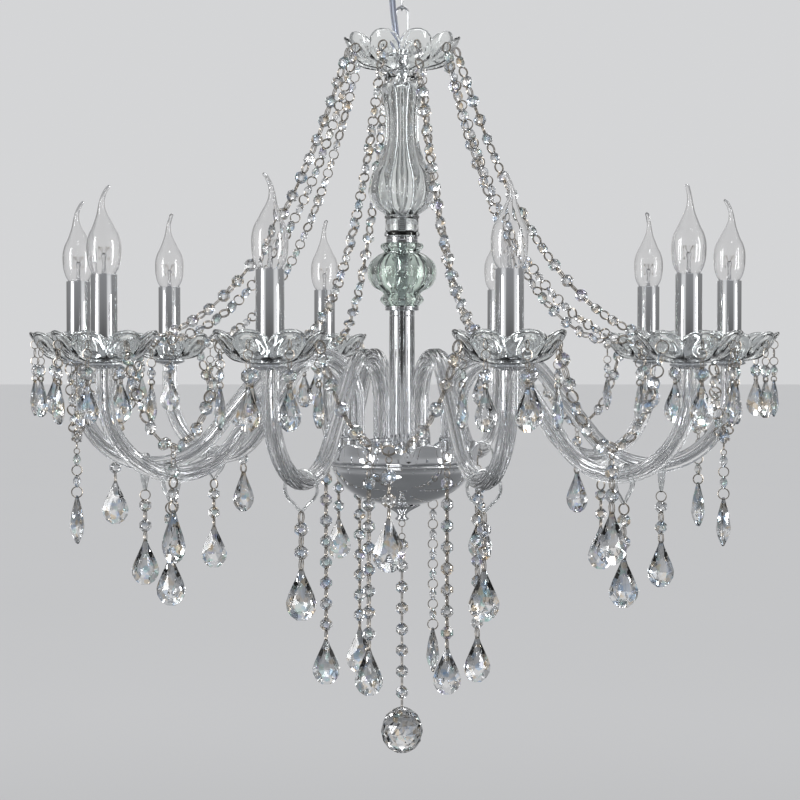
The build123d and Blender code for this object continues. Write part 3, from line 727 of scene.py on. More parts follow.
def swirl(depth):
    """Relief of a spiral in each petal: across runs from -1 to 1, share from 0 to 1."""
    eye_across, eye_share, stretch = 0.12, 0.62, 2.2
    windings, sharpness = 1.6, 2.4

    def relief(across, share):
        x = across - eye_across
        y = stretch * (share - eye_share)
        distance = hypot(x, y)
        fade = max(0.0, 1 - distance**2) * min(1.0, 8 * share * (1 - share))
        wave = cos(windings * 2 * pi * distance - atan2(y, x))
        return depth * fade * tanh(sharpness * wave)

    return relief


def dish_profile(keys, lip, thickness, hole):
    """Closed profile of a dish from its outside keys: (radius, height, share).

    Its inside lies in and up from the outside by shares of a wall that thins towards the rim.
    """
    thinning, inwards, upwards = 0.35, 0.55, 0.8
    outside = smooth(keys, 6)
    rim_radius, rim_height, _ = outside[-1]
    inside = []
    for radius, height, share in reversed(outside[:-4]):
        wall = thickness * (1 - thinning * share)
        near = max(radius - inwards * wall, hole)
        inside.append((near, height + upwards * wall, share, "plain"))
    low = outside[0][1]
    return [(hole, low, 0), *outside[:-1], *rolled_lip(rim_radius, rim_height, lip), *inside,
            (hole, low + upwards * thickness, 0)]


dish_radius = 62 * mm
dish_height = top_of("crown_dish") - dish_bottom
dish_lip = 1.5 * mm
notch_drop = 10 * mm
dish_shares = [(0.645, 0.194, 0.35), (0.82, 0.37, 0.6), (0.93, 0.66, 0.85), (1, 1, 1)]
dish_keys = [(18 * mm, dish_bottom, 0),
             *scaled(dish_shares, dish_radius, dish_bottom, dish_height)]
dish_shape = petalled(dish_profile(dish_keys, dish_lip, 3 * mm, rod_hole), 10, 0.11,
                      drop=notch_drop, steps=18, start=first_arm_turn, relief=swirl(0.8 * mm))
piece("crown_dish_glass", dish_shape, clear_glass, ["crown_dish"], 40)


# %% [markdown]
# Vase and ball are blown into fluted moulds.  The outside follows the flutes and the inside hardly
# does, so the wall is thick on each flute and thin between them, and it bends the light in stripes.

# %% Vase and ball
def blown(shares, radius, top, height, flutes, wall):
    """A blown and fluted shell: shares of its radius and height from the top down."""
    flute_depth, inside_share = 0.13, 0.25
    outside = [(*key, 1) for key in scaled(smooth(shares, 6), radius, top, -height)]
    inside = [(max(width - wall, rod_hole), place, inside_share)
              for width, place, _ in reversed(outside)]
    return petalled([*outside, *inside], flutes, flute_depth, steps=10)


vase_shares = [(0.67, 0), (0.66, 0.025), (0.585, 0.07), (0.57, 0.1), (0.51, 0.2), (0.49, 0.3),
               (0.52, 0.45), (0.70, 0.6), (0.89, 0.68), (0.98, 0.76), (1, 0.84), (0.84, 0.93),
               (0.52, 0.99), (0.5, 1)]
vase_radius = 35.7 * mm
vase_shape = blown(vase_shares, vase_radius, vase_top, vase_top - vase_bottom, 14, 3.2 * mm)
piece("fluted_vase", vase_shape, clear_glass, ["stem_vase"], 40)

ball_shares = [(0.58, 0), (0.62, 0.04), (0.6, 0.08), (0.52, 0.14), (0.70, 0.19), (0.9, 0.29),
               (0.985, 0.38), (1, 0.48), (0.97, 0.58), (0.84, 0.69), (0.60, 0.77), (0.53, 0.81),
               (0.6, 0.86), (0.63, 0.91), (0.56, 0.97), (0.5, 1)]
ball_radius = 36.8 * mm
ball_shape = blown(ball_shares, ball_radius, ball_top, ball_top - ball_bottom, 12, 3 * mm)
piece("melon_ball", ball_shape, green_glass, ["stem_ball"], 40)


# %% [markdown]
# The upper collar is cut on a wheel: each ring of points is turned by half a step, and the faces
# between them stay flat.  The lower one is moulded, so it is a smooth turned shape with a hollow.

# %% Collars
def staggered(levels, count):
    """Level rings whose points stand between those of the ring before, for cut facets."""
    return [level_ring(radius, height, round_turns(count, 0.5 * (index % 2)))
            for index, (radius, height) in enumerate(levels)]


collar_radius = 19 * mm
cut_shares = [(0.72, 0), (0.86, 0.16), (1, 0.5), (0.86, 0.84), (0.72, 1)]
cut_levels = [(rod_hole, vase_top),
              *scaled(cut_shares, collar_radius, vase_top, dish_bottom - vase_top),
              (rod_hole, dish_bottom)]
cut_collar = skin(staggered(cut_levels, 16), looped=True)
piece("cut_collar", cut_collar, clear_glass, ["glass_collars"])

ring_top = ball_top + 7 * mm
collar_shares = [(0.3, 0), (0.9, 0), (0.98, 0.04), (1, 0.12), (0.97, 0.2), (0.9, 0.24), (0.93, 0.3),
                 (0.93, 0.78), (0.9, 0.82), (0.98, 0.88), (0.98, 0.96), (0.9, 1), (0.3, 1),
                 (0.55, 0.94), (0.72, 0.8), (0.72, 0.3), (0.55, 0.12)]
collar_profile = [
    (max(radius, rod_hole), height)
    for radius, height in scaled(collar_shares, collar_radius, ring_top, vase_bottom - ring_top)]
piece("clear_collar", turned(collar_profile), clear_glass, ["glass_collars"], 35)


# %% [markdown]
# The rings and the tube are spun brass, chromed.  A small rounded edge and a fine groove catch a
# highlight, which a plain cylinder would miss.  The rod's thread shows only inside vase and ball.

# %% Rings, tube and rod
def ring_of(radius, low, high):
    """A turned ring with rounded edges and a groove round its middle."""
    edge = 0.9 * mm
    depth = 0.6 * edge
    groove = (low + high) / 2
    profile = [(rod_hole, low), (radius - edge, low), (radius, low + edge),
               (radius, groove - depth), (radius - depth, groove), (radius, groove + depth),
               (radius, high - edge), (radius - edge, high), (rod_hole, high)]
    return turned(profile, 56)


rings_shape = joined([
    ring_of(17 * mm, ball_top, ring_top),
    ring_of(18 * mm, top_of("stem_tube"), ball_bottom),
])
piece("chrome_rings", rings_shape, chrome, ["stem_rings"], 30)

tube_low, tube_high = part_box("stem_tube")
tube_radius = tube_high.x
groove_steps = [(0, -6), (-0.4, -5.4), (0, -4.8), (0, -0.4), (-0.4, 0), (-1, 0)]
tube_profile = [(tube_radius - 1 * mm, tube_low.z), (tube_radius, tube_low.z),
                *stepped(tube_radius, tube_high.z, groove_steps)]
piece("stem_tube_polished", turned(tube_profile, 64), chrome, ["stem_tube"], 30)

rod_low, rod_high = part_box("stem_rod")
rod_radius = 5 * mm
rod_pitch = 1.5 * mm
rod_steps = [(rod_radius, 0), (rod_radius - 0.45 * mm, rod_pitch / 2)]
rod_turns = int((vase_bottom - ball_bottom) / rod_pitch)
rod_profile = [(rod_radius, rod_low.z), *ridges(ball_bottom, rod_pitch, rod_turns, rod_steps),
               (rod_radius, vase_bottom), (rod_radius, rod_high.z)]
piece("threaded_rod", turned(rod_profile, 28, looped=False), chrome, ["stem_rod"], 25)

# %% [markdown]
# ## The hub
# A scalloped chrome plate carries ten sockets for the feet of the arms.  Its rim rises in twelve
# arches with a rolled edge, and six of its notches hold strands.  Below it sits a polished bowl
# with a rolled rim, closed by a finial of six leaves.

# %% Hub plate
strand_count = 6
first_strand_turn = radians(-115)
plate_low, plate_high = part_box("hub_plate")
plate_radius = 84 * mm
plate_floor_radius = 80 * mm
plate_arches = 12
plate_drop = 9.5 * mm
plate_lip = 1.2 * mm
plate_outside = smooth([
    (plate_floor_radius - 3 * mm, plate_low.z, 0),
    (plate_floor_radius, plate_low.z + 0.6 * mm, 0.1),
    (plate_floor_radius + 0.8 * mm, hub_floor + 4 * mm, 0.3),
    (plate_radius - 1.6 * mm, hub_floor + 12 * mm, 0.75),
    (plate_radius - 0.6 * mm, plate_high.z - plate_lip, 1),
], 4)
plate_inside = [(radius - 1.4 * mm, max(height, hub_floor), share)
                for radius, height, share in reversed(plate_outside)]
plate_profile = [(rod_hole, plate_low.z, 0), *plate_outside,
                 *rolled_lip(plate_radius, plate_high.z, plate_lip), *plate_inside,
                 (rod_hole, hub_floor, 0)]
plate_shape = petalled(plate_profile, plate_arches, 0.055, drop=plate_drop,
                       start=first_strand_turn + pi / plate_arches)
piece("scalloped_plate", plate_shape, chrome, ["hub_plate"], 45)

# %% [markdown]
# Each foot of an arm stands in a chromed cup.  One cup is turned at the origin and copied to the
# ten feet in one mesh, because the cups never move apart.

# %% Sockets
leg_radius = 62 * mm
arm_radius = 8.5 * mm
socket_low, socket_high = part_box("arm_sockets")
socket_radius = 10.2 * mm
socket_bore = arm_radius + 0.3 * mm
socket_steps = [(0, -4), (-0.2, -3.4), (0, -2.8), (0, -0.5), (-0.4, 0)]
socket_profile = [(socket_bore, socket_low.z), (socket_radius, socket_low.z),
                  *stepped(socket_radius, socket_high.z, socket_steps),
                  (socket_bore, socket_high.z)]
foot_places = [place @ Matrix.Translation((leg_radius, 0, 0)) for place in arm_places]
sockets_shape = copied(turned(socket_profile, 36), foot_places)
piece("socket_cups", sockets_shape, chrome, ["arm_sockets"], 30)

# %% [markdown]
# The bowl is pressed from sheet with a wire-rolled rim.  The finial is cast: six leaves that spread
# against the bowl and close to a small knob, which the same petal rule makes with deep notches.

# %% Bowl and finial
bowl_low, bowl_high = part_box("hub_bowl")
bowl_radius = 78 * mm
bowl_wall = 1.5 * mm
roll = 2.6 * mm
bowl_shares = [(0.075, 1), (0.13, 1), (0.3, 0.965), (0.6, 0.8), (0.82, 0.54), (0.93, 0.27),
               (0.955, 0.14)]
bowl_outside = scaled(smooth(bowl_shares, 6), bowl_radius, bowl_high.z, bowl_low.z - bowl_high.z)
bowl_roll = arc((bowl_radius - roll, bowl_high.z - roll), roll, -100, 170, 15)
bowl_inside = []
for radius, height in reversed(bowl_outside):
    lift = bowl_wall if radius < 0.9 * bowl_radius else 0
    bowl_inside.append((max(radius - bowl_wall, rod_hole), height + lift))
bowl_shape = turned([*bowl_outside, *bowl_roll, *bowl_inside], 96)
piece("polished_bowl", bowl_shape, chrome, ["hub_bowl"], 35)

finial_low, finial_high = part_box("bowl_finial")
finial_radius = 20 * mm
finial_shares = [(0.2, 0.14, 0), (0.6, 0.12, 0.7), (0.9, 0.05, 1), (0.97, 0, 1), (1.0, 0.02, 1),
                 (0.95, 0.07, 1), (0.78, 0.18, 0.9), (0.52, 0.34, 0.6), (0.34, 0.48, 0.25),
                 (0.26, 0.6, 0), (0.25, 0.7, 0), (0.30, 0.76, 0), (0.37, 0.84, 0), (0.35, 0.92, 0),
                 (0.2, 1, 0)]
finial_profile = scaled(smooth(finial_shares, 4), finial_radius, finial_high.z,
                        finial_low.z - finial_high.z)
finial_shape = petalled(finial_profile, 6, 0.42, steps=16, looped=False)
piece("leaf_finial", finial_shape, chrome, ["bowl_finial"], 40)

# %% [markdown]
# ## The arms
# Each arm is a clear glass tube with twelve ribs.  It stands in its socket, humps over, runs down
# straight and sweeps up to its pan, and two white wires run through its bore.  Its path is made of
# two arcs and the straight lines that touch them.

# %% Arm path
def between(start, end, shares):
    """Points on the straight line from start to end, at shares of its length."""
    return [tuple(a + (b - a) * share for a, b in zip(start, end)) for share in shares]


hump_radius = 50 * mm
hump = (leg_radius + hump_radius, hub_floor + 59 * mm)
sweep_radius = 80 * mm
sweep_middle = (reach - sweep_radius, hub_floor + 73 * mm)
arms_low, arms_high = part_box("glass_arms")
run = sweep_middle[0] - hump[0]
rise = sweep_middle[1] - hump[1]
both = hump_radius + sweep_radius
leave_turn = degrees(atan(rise / run) + atan(sqrt(run**2 + rise**2 - both**2) / both))
over = arc(hump, hump_radius, 180, leave_turn, 20)
under = arc(sweep_middle, sweep_radius, leave_turn + 180, 360, 20)
quarters = (0.25, 0.5, 0.75)
arm_line = [
    *between((leg_radius, arms_low.z), (leg_radius, hump[1]), (0, *quarters)),
    *over,
    *between(over[-1], under[0], quarters),
    *under,
    *between((reach, sweep_middle[1]), (reach, arms_high.z), (0.33, 0.67, 1)),
]
arm_path = [(x, 0, z) for x, z in arm_line]
print(f"the arm leaves its hump at {leave_turn:.1f} degrees, {len(arm_line)} points")


# %% [markdown]
# The ribs are in the section itself, not in the shading, because only real ribs bend the light into
# the long streaks that such arms show.  The bore is a second skin inside, walked back to the start.

# %% Ribbed arms and their wires
def hollow_sweep(path, outer, inner, normal):
    """A tube with open ends: its outer skin, then its bore walked back."""
    outer_points, _ = swept(path, outer, normal)
    inner_points, _ = swept(path, inner, normal)
    outer_rings = outer_points.reshape(-1, len(outer), 3)
    inner_rings = inner_points.reshape(-1, len(inner), 3)[::-1]
    return skin([*outer_rings, *inner_rings], looped=True)


arm_ribs = 12
section_points = 6 * arm_ribs
rib_depth = 1.25 * mm
arm_section = []
for turn in round_turns(section_points):
    radius = arm_radius - rib_depth * (1 - abs(sin(arm_ribs * turn / 2)))
    arm_section.append((radius * cos(turn), radius * sin(turn)))
bore_section = circle(3.4 * mm, section_points)
arm_shape = hollow_sweep(arm_path, arm_section, bore_section, (0, 1, 0))
arms_shape = copied(arm_shape, arm_places)
piece("ribbed_arms", arms_shape, arm_glass, ["glass_arms"], 60)

wire_radius = 1.3 * mm
wire_offset = 1.45 * mm
wires = joined([swept(arm_path, circle(wire_radius, 10, 0, side * wire_offset), (0, 1, 0))
                for side in (-1, 1)])
piece("arm_wires", copied(wires, arm_places), wire_sleeve, [], 60)

# %% [markdown]
# ## Candles
# On each arm sits a beaded chrome seat, a pressed glass pan with eight petals, a chrome sleeve, and
# a lamp holder with a clear bulb.  The bulb is a thin blown shell that ends in a bent tip, with a
# glass stem, four support wires and a zigzag filament inside it.

# %% Seats, pans and sleeves
seat_low, seat_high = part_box("pan_seats")
seat_radius = 18 * mm
seat_shares = [(0.29, 0, 0), (0.56, 0, 0), (0.62, 0.12, 0), (0.8, 0.3, 0.2), (0.95, 0.5, 1),
               (1, 0.68, 1), (0.96, 0.86, 1), (0.86, 1, 0), (0.29, 1, 0)]
seat_profile = scaled(seat_shares, seat_radius, seat_low.z, seat_high.z - seat_low.z)
seat_shape = petalled(seat_profile, 20, 0.07, steps=6)
piece("beaded_seats", copied(seat_shape, pan_places), chrome, ["pan_seats"], 50)

pan_radius = 54 * mm
pan_height = top_of("drip_pans") - pan_bottom
nipple_hole = 5.2 * mm
pan_shares = [(0.643, 0.216, 0.35), (0.833, 0.54, 0.7), (0.93, 0.78, 0.88), (1, 1, 1)]
pan_keys = [(17.7 * mm, pan_bottom, 0), *scaled(pan_shares, pan_radius, pan_bottom, pan_height)]
pan_trim = 0.982  # the petals bulge a little past the keys, and the trim keeps them to size
trimmed_keys = [(radius * pan_trim, height, share) for radius, height, share in pan_keys]
pan_shape = petalled(dish_profile(trimmed_keys, dish_lip, 3.5 * mm, nipple_hole), 8, 0.12,
                     drop=notch_drop, steps=24, relief=swirl(0.85 * mm))
piece("petal_pans", copied(pan_shape, pan_places), clear_glass, ["drip_pans"], 40)

sleeve_low, sleeve_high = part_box("candle_sleeves")
sleeve_radius = 13 * mm
sleeve_steps = [(0, -0.5), (-0.25, -0.1), (-0.55, 0), (-0.8, -0.3)]
sleeve_profile = [(sleeve_radius - 0.8 * mm, sleeve_low.z), (sleeve_radius, sleeve_low.z),
                  *stepped(sleeve_radius, sleeve_high.z, sleeve_steps)]
sleeves_shape = copied(turned(sleeve_profile, 44), pan_places)
piece("chrome_sleeves", sleeves_shape, chrome, ["candle_sleeves"], 40)

# %% [markdown]
# The holders are hidden in the sleeves but for their tops.  Fins on the holder and screw ridges on
# the cap are turned profiles again.

# %% Lamp holders and bulb caps
bulb_low, bulb_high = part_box("bulbs")
bulb_length = bulb_high.z - bulb_low.z
holder_top = bulb_low.z
pan_floor = sleeve_low.z
nipple_radius = 4.9 * mm
holder_radius = 11.5 * mm
fin_root = 10.9 * mm
fin_steps = [(holder_radius, 0), (fin_root, 0.8 * mm), (fin_root, 2 * mm),
             (holder_radius, 2.8 * mm)]
holder_profile = [
    (nipple_radius, bottom_of("lamp_holders")), (nipple_radius, pan_floor),
    (holder_radius, pan_floor), (holder_radius, pan_floor + 8 * mm),
    *ridges(pan_floor + 10 * mm, 5.5 * mm, 8, fin_steps),
    *stepped(holder_radius, holder_top, [(0, -1), (-0.7, 0), (-4.3, 0)]),
]
holders_shape = copied(turned(holder_profile, 32, looped=False), pan_places)
piece("holder_bodies", holders_shape, holder_plastic, ["lamp_holders"], 35)

cap_radius = 7 * mm
screw_steps = [(cap_radius - 0.5 * mm, 0), (cap_radius, 1.1 * mm)]
cap_profile = [(cap_radius, holder_top),
               *ridges(holder_top + 1.5 * mm, 2.2 * mm, 5, screw_steps),
               (cap_radius - 0.2 * mm, holder_top + 0.13 * bulb_length)]
caps_shape = copied(turned(cap_profile, 28, looped=False), pan_places)
piece("bulb_caps", caps_shape, zinc, [], 50)

# %% [markdown]
# A bulb is too regular to sculpt and too bent to turn.  It is a stack of level rings, as a turned
# shape is, but each ring may stand a little to one side, which gives the bent flame tip.

# %% Bulbs
bulb_radius = 16.8 * mm
tip_bend = 7 * mm
glass_wall = 0.7 * mm
bulb_keys = [(0.40, 0.10, 0), (0.42, 0.14, 0), (0.60, 0.20, 0), (0.81, 0.255, 0), (0.95, 0.325, 0),
             (1.0, 0.41, 0), (0.985, 0.49, 0), (0.86, 0.565, 0), (0.67, 0.62, -0.03),
             (0.50, 0.68, -0.1), (0.34, 0.735, -0.21), (0.23, 0.79, -0.3), (0.165, 0.85, -0.26),
             (0.14, 0.905, -0.06), (0.135, 0.955, 0.32), (0.13, 0.985, 0.62), (0.02, 1.0, 0.74)]
bulb_turns = [110, 60, -35, 10, 25, -20, 15, -10, 20, -15]
bulb_places = [place @ Matrix.Rotation(radians(turn), 4, "Z")
               for place, turn in zip(pan_places, bulb_turns)]


def bulb_ring(width, height_share, bend, inset):
    """A level ring of the shell; bend moves it sideways, for the bent tip."""
    radius = max(width * bulb_radius - inset, 0.1 * mm)
    height = holder_top + height_share * bulb_length - (inset if height_share > 0.9 else 0)
    ring = level_ring(radius, height, round_turns(32))
    return [(x - bend * tip_bend, y, z) for x, y, z in ring]


bulb_line = smooth(bulb_keys, 4)
bulb_rings = [bulb_ring(*key, 0.0) for key in bulb_line]
bulb_rings += [bulb_ring(*key, glass_wall) for key in reversed(bulb_line)]
bulbs_shape = copied(skin(bulb_rings, looped=True), bulb_places)
piece("blown_bulbs", bulbs_shape, bulb_glass, ["bulbs"], 60)

# %% [markdown]
# Inside the shell a glass stem holds thin support wires, and a wire runs up and down between them.
# These are what the eye looks for in a clear bulb, so they are modelled although they are small.

# %% Glass stems and filaments
stem_foot = holder_top + 0.12 * bulb_length
stem_top = holder_top + 0.40 * bulb_length
stem_shares = [(5.5, 0), (3.6, 0.12), (2.2, 0.4), (1.7, 0.75), (2.4, 0.88), (2.6, 0.94), (1.4, 1)]
stem_profile = scaled(smooth(stem_shares, 4), mm, stem_foot, stem_top - stem_foot)
stems_shape = copied(turned(stem_profile, 20, looped=False), bulb_places)
piece("bulb_stems", stems_shape, bulb_glass, [], 60)

filament_radius = 5.2 * mm
filament_top = stem_top + 6 * mm
filament_bottom = stem_top - 7 * mm
filament_wire = 0.22 * mm
zigzags = 9
filament_points = []
for number in range(2 * zigzags + 1):
    turn = pi * number / zigzags
    height = filament_top if number % 2 else filament_bottom
    filament_points.append((filament_radius * cos(turn), filament_radius * sin(turn), height))
filament = swept(smooth(filament_points, 3), circle(filament_wire, 5), (0, 0, 1))
support_foot = 1.2 * mm
supports = []
for turn in [start + 0.3 for start in round_turns(4)]:
    foot = Vector((support_foot * cos(turn), support_foot * sin(turn), stem_top - 1 * mm))
    head = Vector((filament_radius * cos(turn), filament_radius * sin(turn), filament_top))
    line = [foot, (foot + head) / 2, head]
    supports.append(swept(line, circle(0.2 * mm, 5), (-sin(turn), cos(turn), 0)))
filaments_shape = copied(joined([filament, *supports]), bulb_places)
piece("filaments", filaments_shape, tungsten, [], 60)

# %% [markdown]
# ## Cut crystals
# An octagon bead has a small table on each face and facets that slope to its edge.  The holes at
# its ends are left out, because the wire rings hide them.  A pear drop's facets meet at a point low
# down on each face.  Facets stay flat-shaded, because their sharp edges make the sparkle.

# %% Beads, drops and rings
def cut_in_two(faces):
    """Faces with each four-sided one cut along its diagonal."""
    cut = []
    for face in faces:
        cut += [face[:3], (face[0], *face[2:])] if len(face) == 4 else [face]
    return cut


def octagon_bead(size, thickness):
    """A bead that lies along X, with Z as the way it faces."""
    edge = 0.5 * mm
    table = 0.14
    levels = [(-thickness / 2, table, 0.5), (-edge, 0.5, 0), (edge, 0.5, 0),
              (thickness / 2, table, 0.5)]
    points, faces = skin([level_ring(size * share, height, round_turns(8, shift + 0.5))
                          for height, share, shift in levels])
    return points, [*cut_in_two(faces[:8]), *faces[8:16], *cut_in_two(faces[16:])]


def pear_drop(length, width, thickness):
    """A drop that hangs from the origin along -X, with its facets meeting low on each face."""
    apex_share, belt_share, belt_height = 0.64, 0.52, 0.36
    keys = [(0.0, 0.055), (0.12, 0.12), (0.3, 0.26), (0.48, 0.40), (0.64, 0.49), (0.78, 0.46),
            (0.9, 0.33), (0.98, 0.13)]
    outline = [(-x * length, y * width) for x, y in keys]
    outline += [(x, -y) for x, y in reversed(outline)]
    count = len(outline)
    half = count // 2
    apex = -apex_share * length
    edge = 0.06 * thickness
    points = []
    for side in (1, -1):
        points += [(x, y, side * edge) for x, y in outline]
        for number in range(0, count, 2):
            x = (outline[number][0] + outline[number + 1][0]) / 2
            y = (outline[number][1] + outline[number + 1][1]) / 2
            belt = (apex + belt_share * (x - apex), belt_share * y)
            points.append((*belt, side * belt_height * thickness))
        points.append((apex, 0.0, side * thickness / 2))
    layer = count + half + 1
    faces = []
    for start in (0, layer):
        for number in range(half):
            here = start + count + number
            after = start + count + (number + 1) % half
            first = start + 2 * number
            third = start + (2 * number + 2) % count
            faces += [(first, first + 1, here), (first + 1, after, here),
                      (first + 1, third, after), (here, after, start + layer - 1)]
    for number in range(count):
        after = (number + 1) % count
        faces.append((number, after, layer + after, layer + number))
    return np.array(points, float), faces


def jump_ring(outer_radius, wire):
    """A wire ring in the XY plane."""
    line = [(x, y, 0) for x, y in arc((0, 0), outer_radius - wire, 0, 340, 17)]
    return swept(line, circle(wire, 5), (0, 0, 1), looped=True)


bead_shape = octagon_bead(bead_size, 7.5 * mm)
large_pear = pear_drop(50 * mm, 30 * mm, 15 * mm)
small_pear = pear_drop(40 * mm, 23 * mm, 11 * mm)
print("facets of a bead", len(bead_shape[1]), "and of a pear", len(large_pear[1]))

# %% [markdown]
# Every hanging is made by one small collector.  It adds a crystal at a place, adds the wire rings
# from one hole to the next, and hangs beads and rings straight down with a pear at the end.  A
# short way is closed by a doubled ring and a long one by a chain of three single rings.

# %% Strands
ring_wire_radius = 0.5 * mm
ring_gap = 0.75 * mm
longest_ring = 16 * mm
bead_hole = 1.3 * mm
pear_hole = 2.2 * mm


def frame_at(origin, along, facing):
    """Matrix with X along the strand and Z the way the crystal faces."""
    x_axis = Vector(along).normalized()
    z_axis = (Vector(facing) - x_axis * x_axis.dot(Vector(facing))).normalized()
    y_axis = z_axis.cross(x_axis)
    place = Matrix((x_axis, y_axis, z_axis)).transposed().to_4x4()
    place.translation = Vector(origin)
    return place


class Strand:
    """Collects the crystals and the jump rings of one hanging."""

    def __init__(self):
        self.cut = []
        self.wire = []

    def add(self, shape, place):
        self.cut.append(copied(shape, [place]))

    def rings(self, start, end, facing):
        """A doubled ring from one hole to the next, or a chain of three where the way is long."""
        along = end - start
        count = 1 if along.length < longest_ring else 3
        outer = along.length / count / 2 + 0.9 * ring_wire_radius
        shape = jump_ring(outer, ring_wire_radius)
        side = along.cross(facing).normalized()
        for number in range(count):
            middle = start + along * ((number + 0.5) / count)
            across = side if number % 2 == 0 else facing
            for shift in (-ring_gap, ring_gap) if count == 1 else (0,):
                self.wire.append(copied(shape, [frame_at(middle + across * shift, along, across)]))

    def hang(self, place, top, beads, first_link, link, twist=0.0, pear=None, top_reach=2 * mm):
        """Beads and rings straight down below a place, then a pear; returns the pear's top."""
        turned_to = place.to_3x3()
        up, outward = turned_to @ Vector((0, 0, 1)), turned_to @ Vector((1, 0, 0))
        facing = turned_to @ Vector((cos(twist), sin(twist), 0))

        def at(height):
            return place @ Vector((0, 0, height))

        start = at(top + top_reach)
        height = top - first_link
        for number in range(beads):
            self.rings(start, at(height - bead_hole), facing if number else outward)
            self.add(bead_shape, frame_at(at(height - bead_size / 2), up, facing))
            height -= bead_size
            start = at(height + bead_hole)
            height -= link
        self.rings(start, at(height - pear_hole), facing)
        if pear:
            self.add(pear, frame_at(at(height), up, facing))
        return height

    def pieces(self, name, nodes, body="chandelier"):
        piece(f"{name}_cut", joined(self.cut), crystal, nodes, body=body)
        piece(f"{name}_rings", joined(self.wire), ring_wire, [], 60, body)


# %% [markdown]
# ## Where the crystals hang
# A chain that hangs between two points takes the shape of a catenary.  The rule below finds the
# one that is level at its low end and rises by the right amount, and then walks along it in steps
# of one bead and one ring.  Crown garlands are half such a curve, and the swags between the pans
# are whole.

# %% Catenaries
def catenary_constant(run, rise_needed):
    """The c of rise = c (cosh(run / c) - 1)."""
    low, high = run / 20, run * 20
    for _ in range(80):
        guess = (low + high) / 2
        if guess * (cosh(run / guess) - 1) > rise_needed:
            low = guess
        else:
            high = guess
    return (low + high) / 2


def on_catenary(constant, along):
    """Place and height at a length along the curve from its lowest point."""
    return constant * asinh(along / constant), hypot(along, constant) - constant


def height_on(keys, radius):
    """Height at a radius on the straight lines between a dish's keys."""
    for (near, low, *_), (far, high, *_) in zip(keys, keys[1:]):
        if near <= radius <= far:
            return low + (high - low) * (radius - near) / (far - near)
    return keys[-1][1]


pan_line = [*pan_keys[:3], pan_keys[4]]
dish_middle = (0.887 * dish_radius, dish_bottom + 0.5 * dish_height)
dish_line = [*dish_keys[:2], dish_middle, dish_keys[4]]
pan_hole_radius = 47.5 * mm
crown_hole_radius = 57.5 * mm
pan_hook = height_on(pan_line, pan_hole_radius) - ring_drop
garland_top = height_on(dish_line, crown_hole_radius) - ring_drop - 0.6 * mm
print(f"pan hook {pan_hook:.4f}, garland top {garland_top:.4f}")


# %% [markdown]
# A simulated chain would find the same curve, with the risk that beads drift apart.  The rule puts
# every bead on the curve at once.  The beads turn to and fro about the line, because no two beads
# on a real garland face the same way.

# %% Garlands from the crown dish
def bead_curve(strand, point_at, length, beads, side, twist):
    """Beads and rings along a curve: point_at gives a place at a length along it."""
    link = (length - beads * bead_size) / (beads + 1)
    pitch = bead_size + link
    for number in range(beads + 1):
        start = number * pitch
        turn = twist + 0.5 * sin(1.3 * number + 7 * twist)
        low_hole = point_at(start - bead_hole)
        high_hole = point_at(start + link + bead_hole)
        along = (high_hole - low_hole).normalized()
        facing = side * cos(turn) + along.cross(side) * sin(turn)
        strand.rings(low_hole, high_hole, facing)
        if number < beads:
            middle = start + pitch - bead_size / 2
            ahead = point_at(middle + 1 * mm) - point_at(middle - 1 * mm)
            strand.add(bead_shape, frame_at(point_at(middle), ahead, facing))


garland_beads = 19
garland_foot = reach - pan_hole_radius
garland_run = garland_foot - crown_hole_radius
garland_constant = catenary_constant(garland_run, garland_top - pan_hook)
garland_length = garland_constant * sinh(garland_run / garland_constant)
garlands = Strand()
for number, place in enumerate(arm_places):
    side = place.to_3x3() @ Vector((0, 1, 0))

    def garland_point(along, place=place):
        x, z = on_catenary(garland_constant, along)
        return place @ Vector((garland_foot - x, 0, pan_hook + z))

    bead_curve(garlands, garland_point, garland_length, garland_beads, side, 0.9 * (number % 4))
garlands.pieces("garland", ["crown_garlands"])
print(f"garland {garland_length * 1000:.0f} mm")

# %% [markdown]
# A swag hangs from a hole in one pan to a hole in the next, and carries a pendant at its lowest
# point.  Each swings as one piece.  The turns of the pendants, in degrees, follow the photograph.

# %% Swags between the pans
swag_beads = 10
pendant_first_link = 14.5 * mm
pendant_link = 7.8 * mm
half_step = pi / arm_count
swag_radius = reach * cos(half_step) + pan_hole_radius * sin(half_step)
swag_half_span = reach * sin(half_step) - pan_hole_radius * cos(half_step)
swag_sag = 97 * mm
swag_constant = catenary_constant(swag_half_span, swag_sag)
swag_half_length = swag_constant * sinh(swag_half_span / swag_constant)
swag_bottom = pan_hook - swag_sag
swag_twists = [0, -20, 4, -6, 0, 0, 5, -60, 4, 0]
for number, turn in enumerate(arm_turns, start=1):
    place = Matrix.Rotation(turn + half_step, 4, "Z") @ Matrix.Translation((swag_radius, 0, 0))
    side = place.to_3x3() @ Vector((1, 0, 0))

    def swag_point(along, place=place):
        y, z = on_catenary(swag_constant, along - swag_half_length)
        return place @ Vector((0, y, swag_bottom + z))

    name = f"swag_{number}"
    swag = Strand()
    bead_curve(swag, swag_point, 2 * swag_half_length, swag_beads, side, 0.25 * sin(number))
    twist = radians(swag_twists[number - 1])
    swag.hang(place, swag_bottom - ring_drop, 2, pendant_first_link, pendant_link, twist,
              large_pear)
    swag.pieces(name, [name], name)

# %% [markdown]
# Five small drops hang round the outer side of each pan.  Fifty of them are one piece, because they
# stay with the pans.

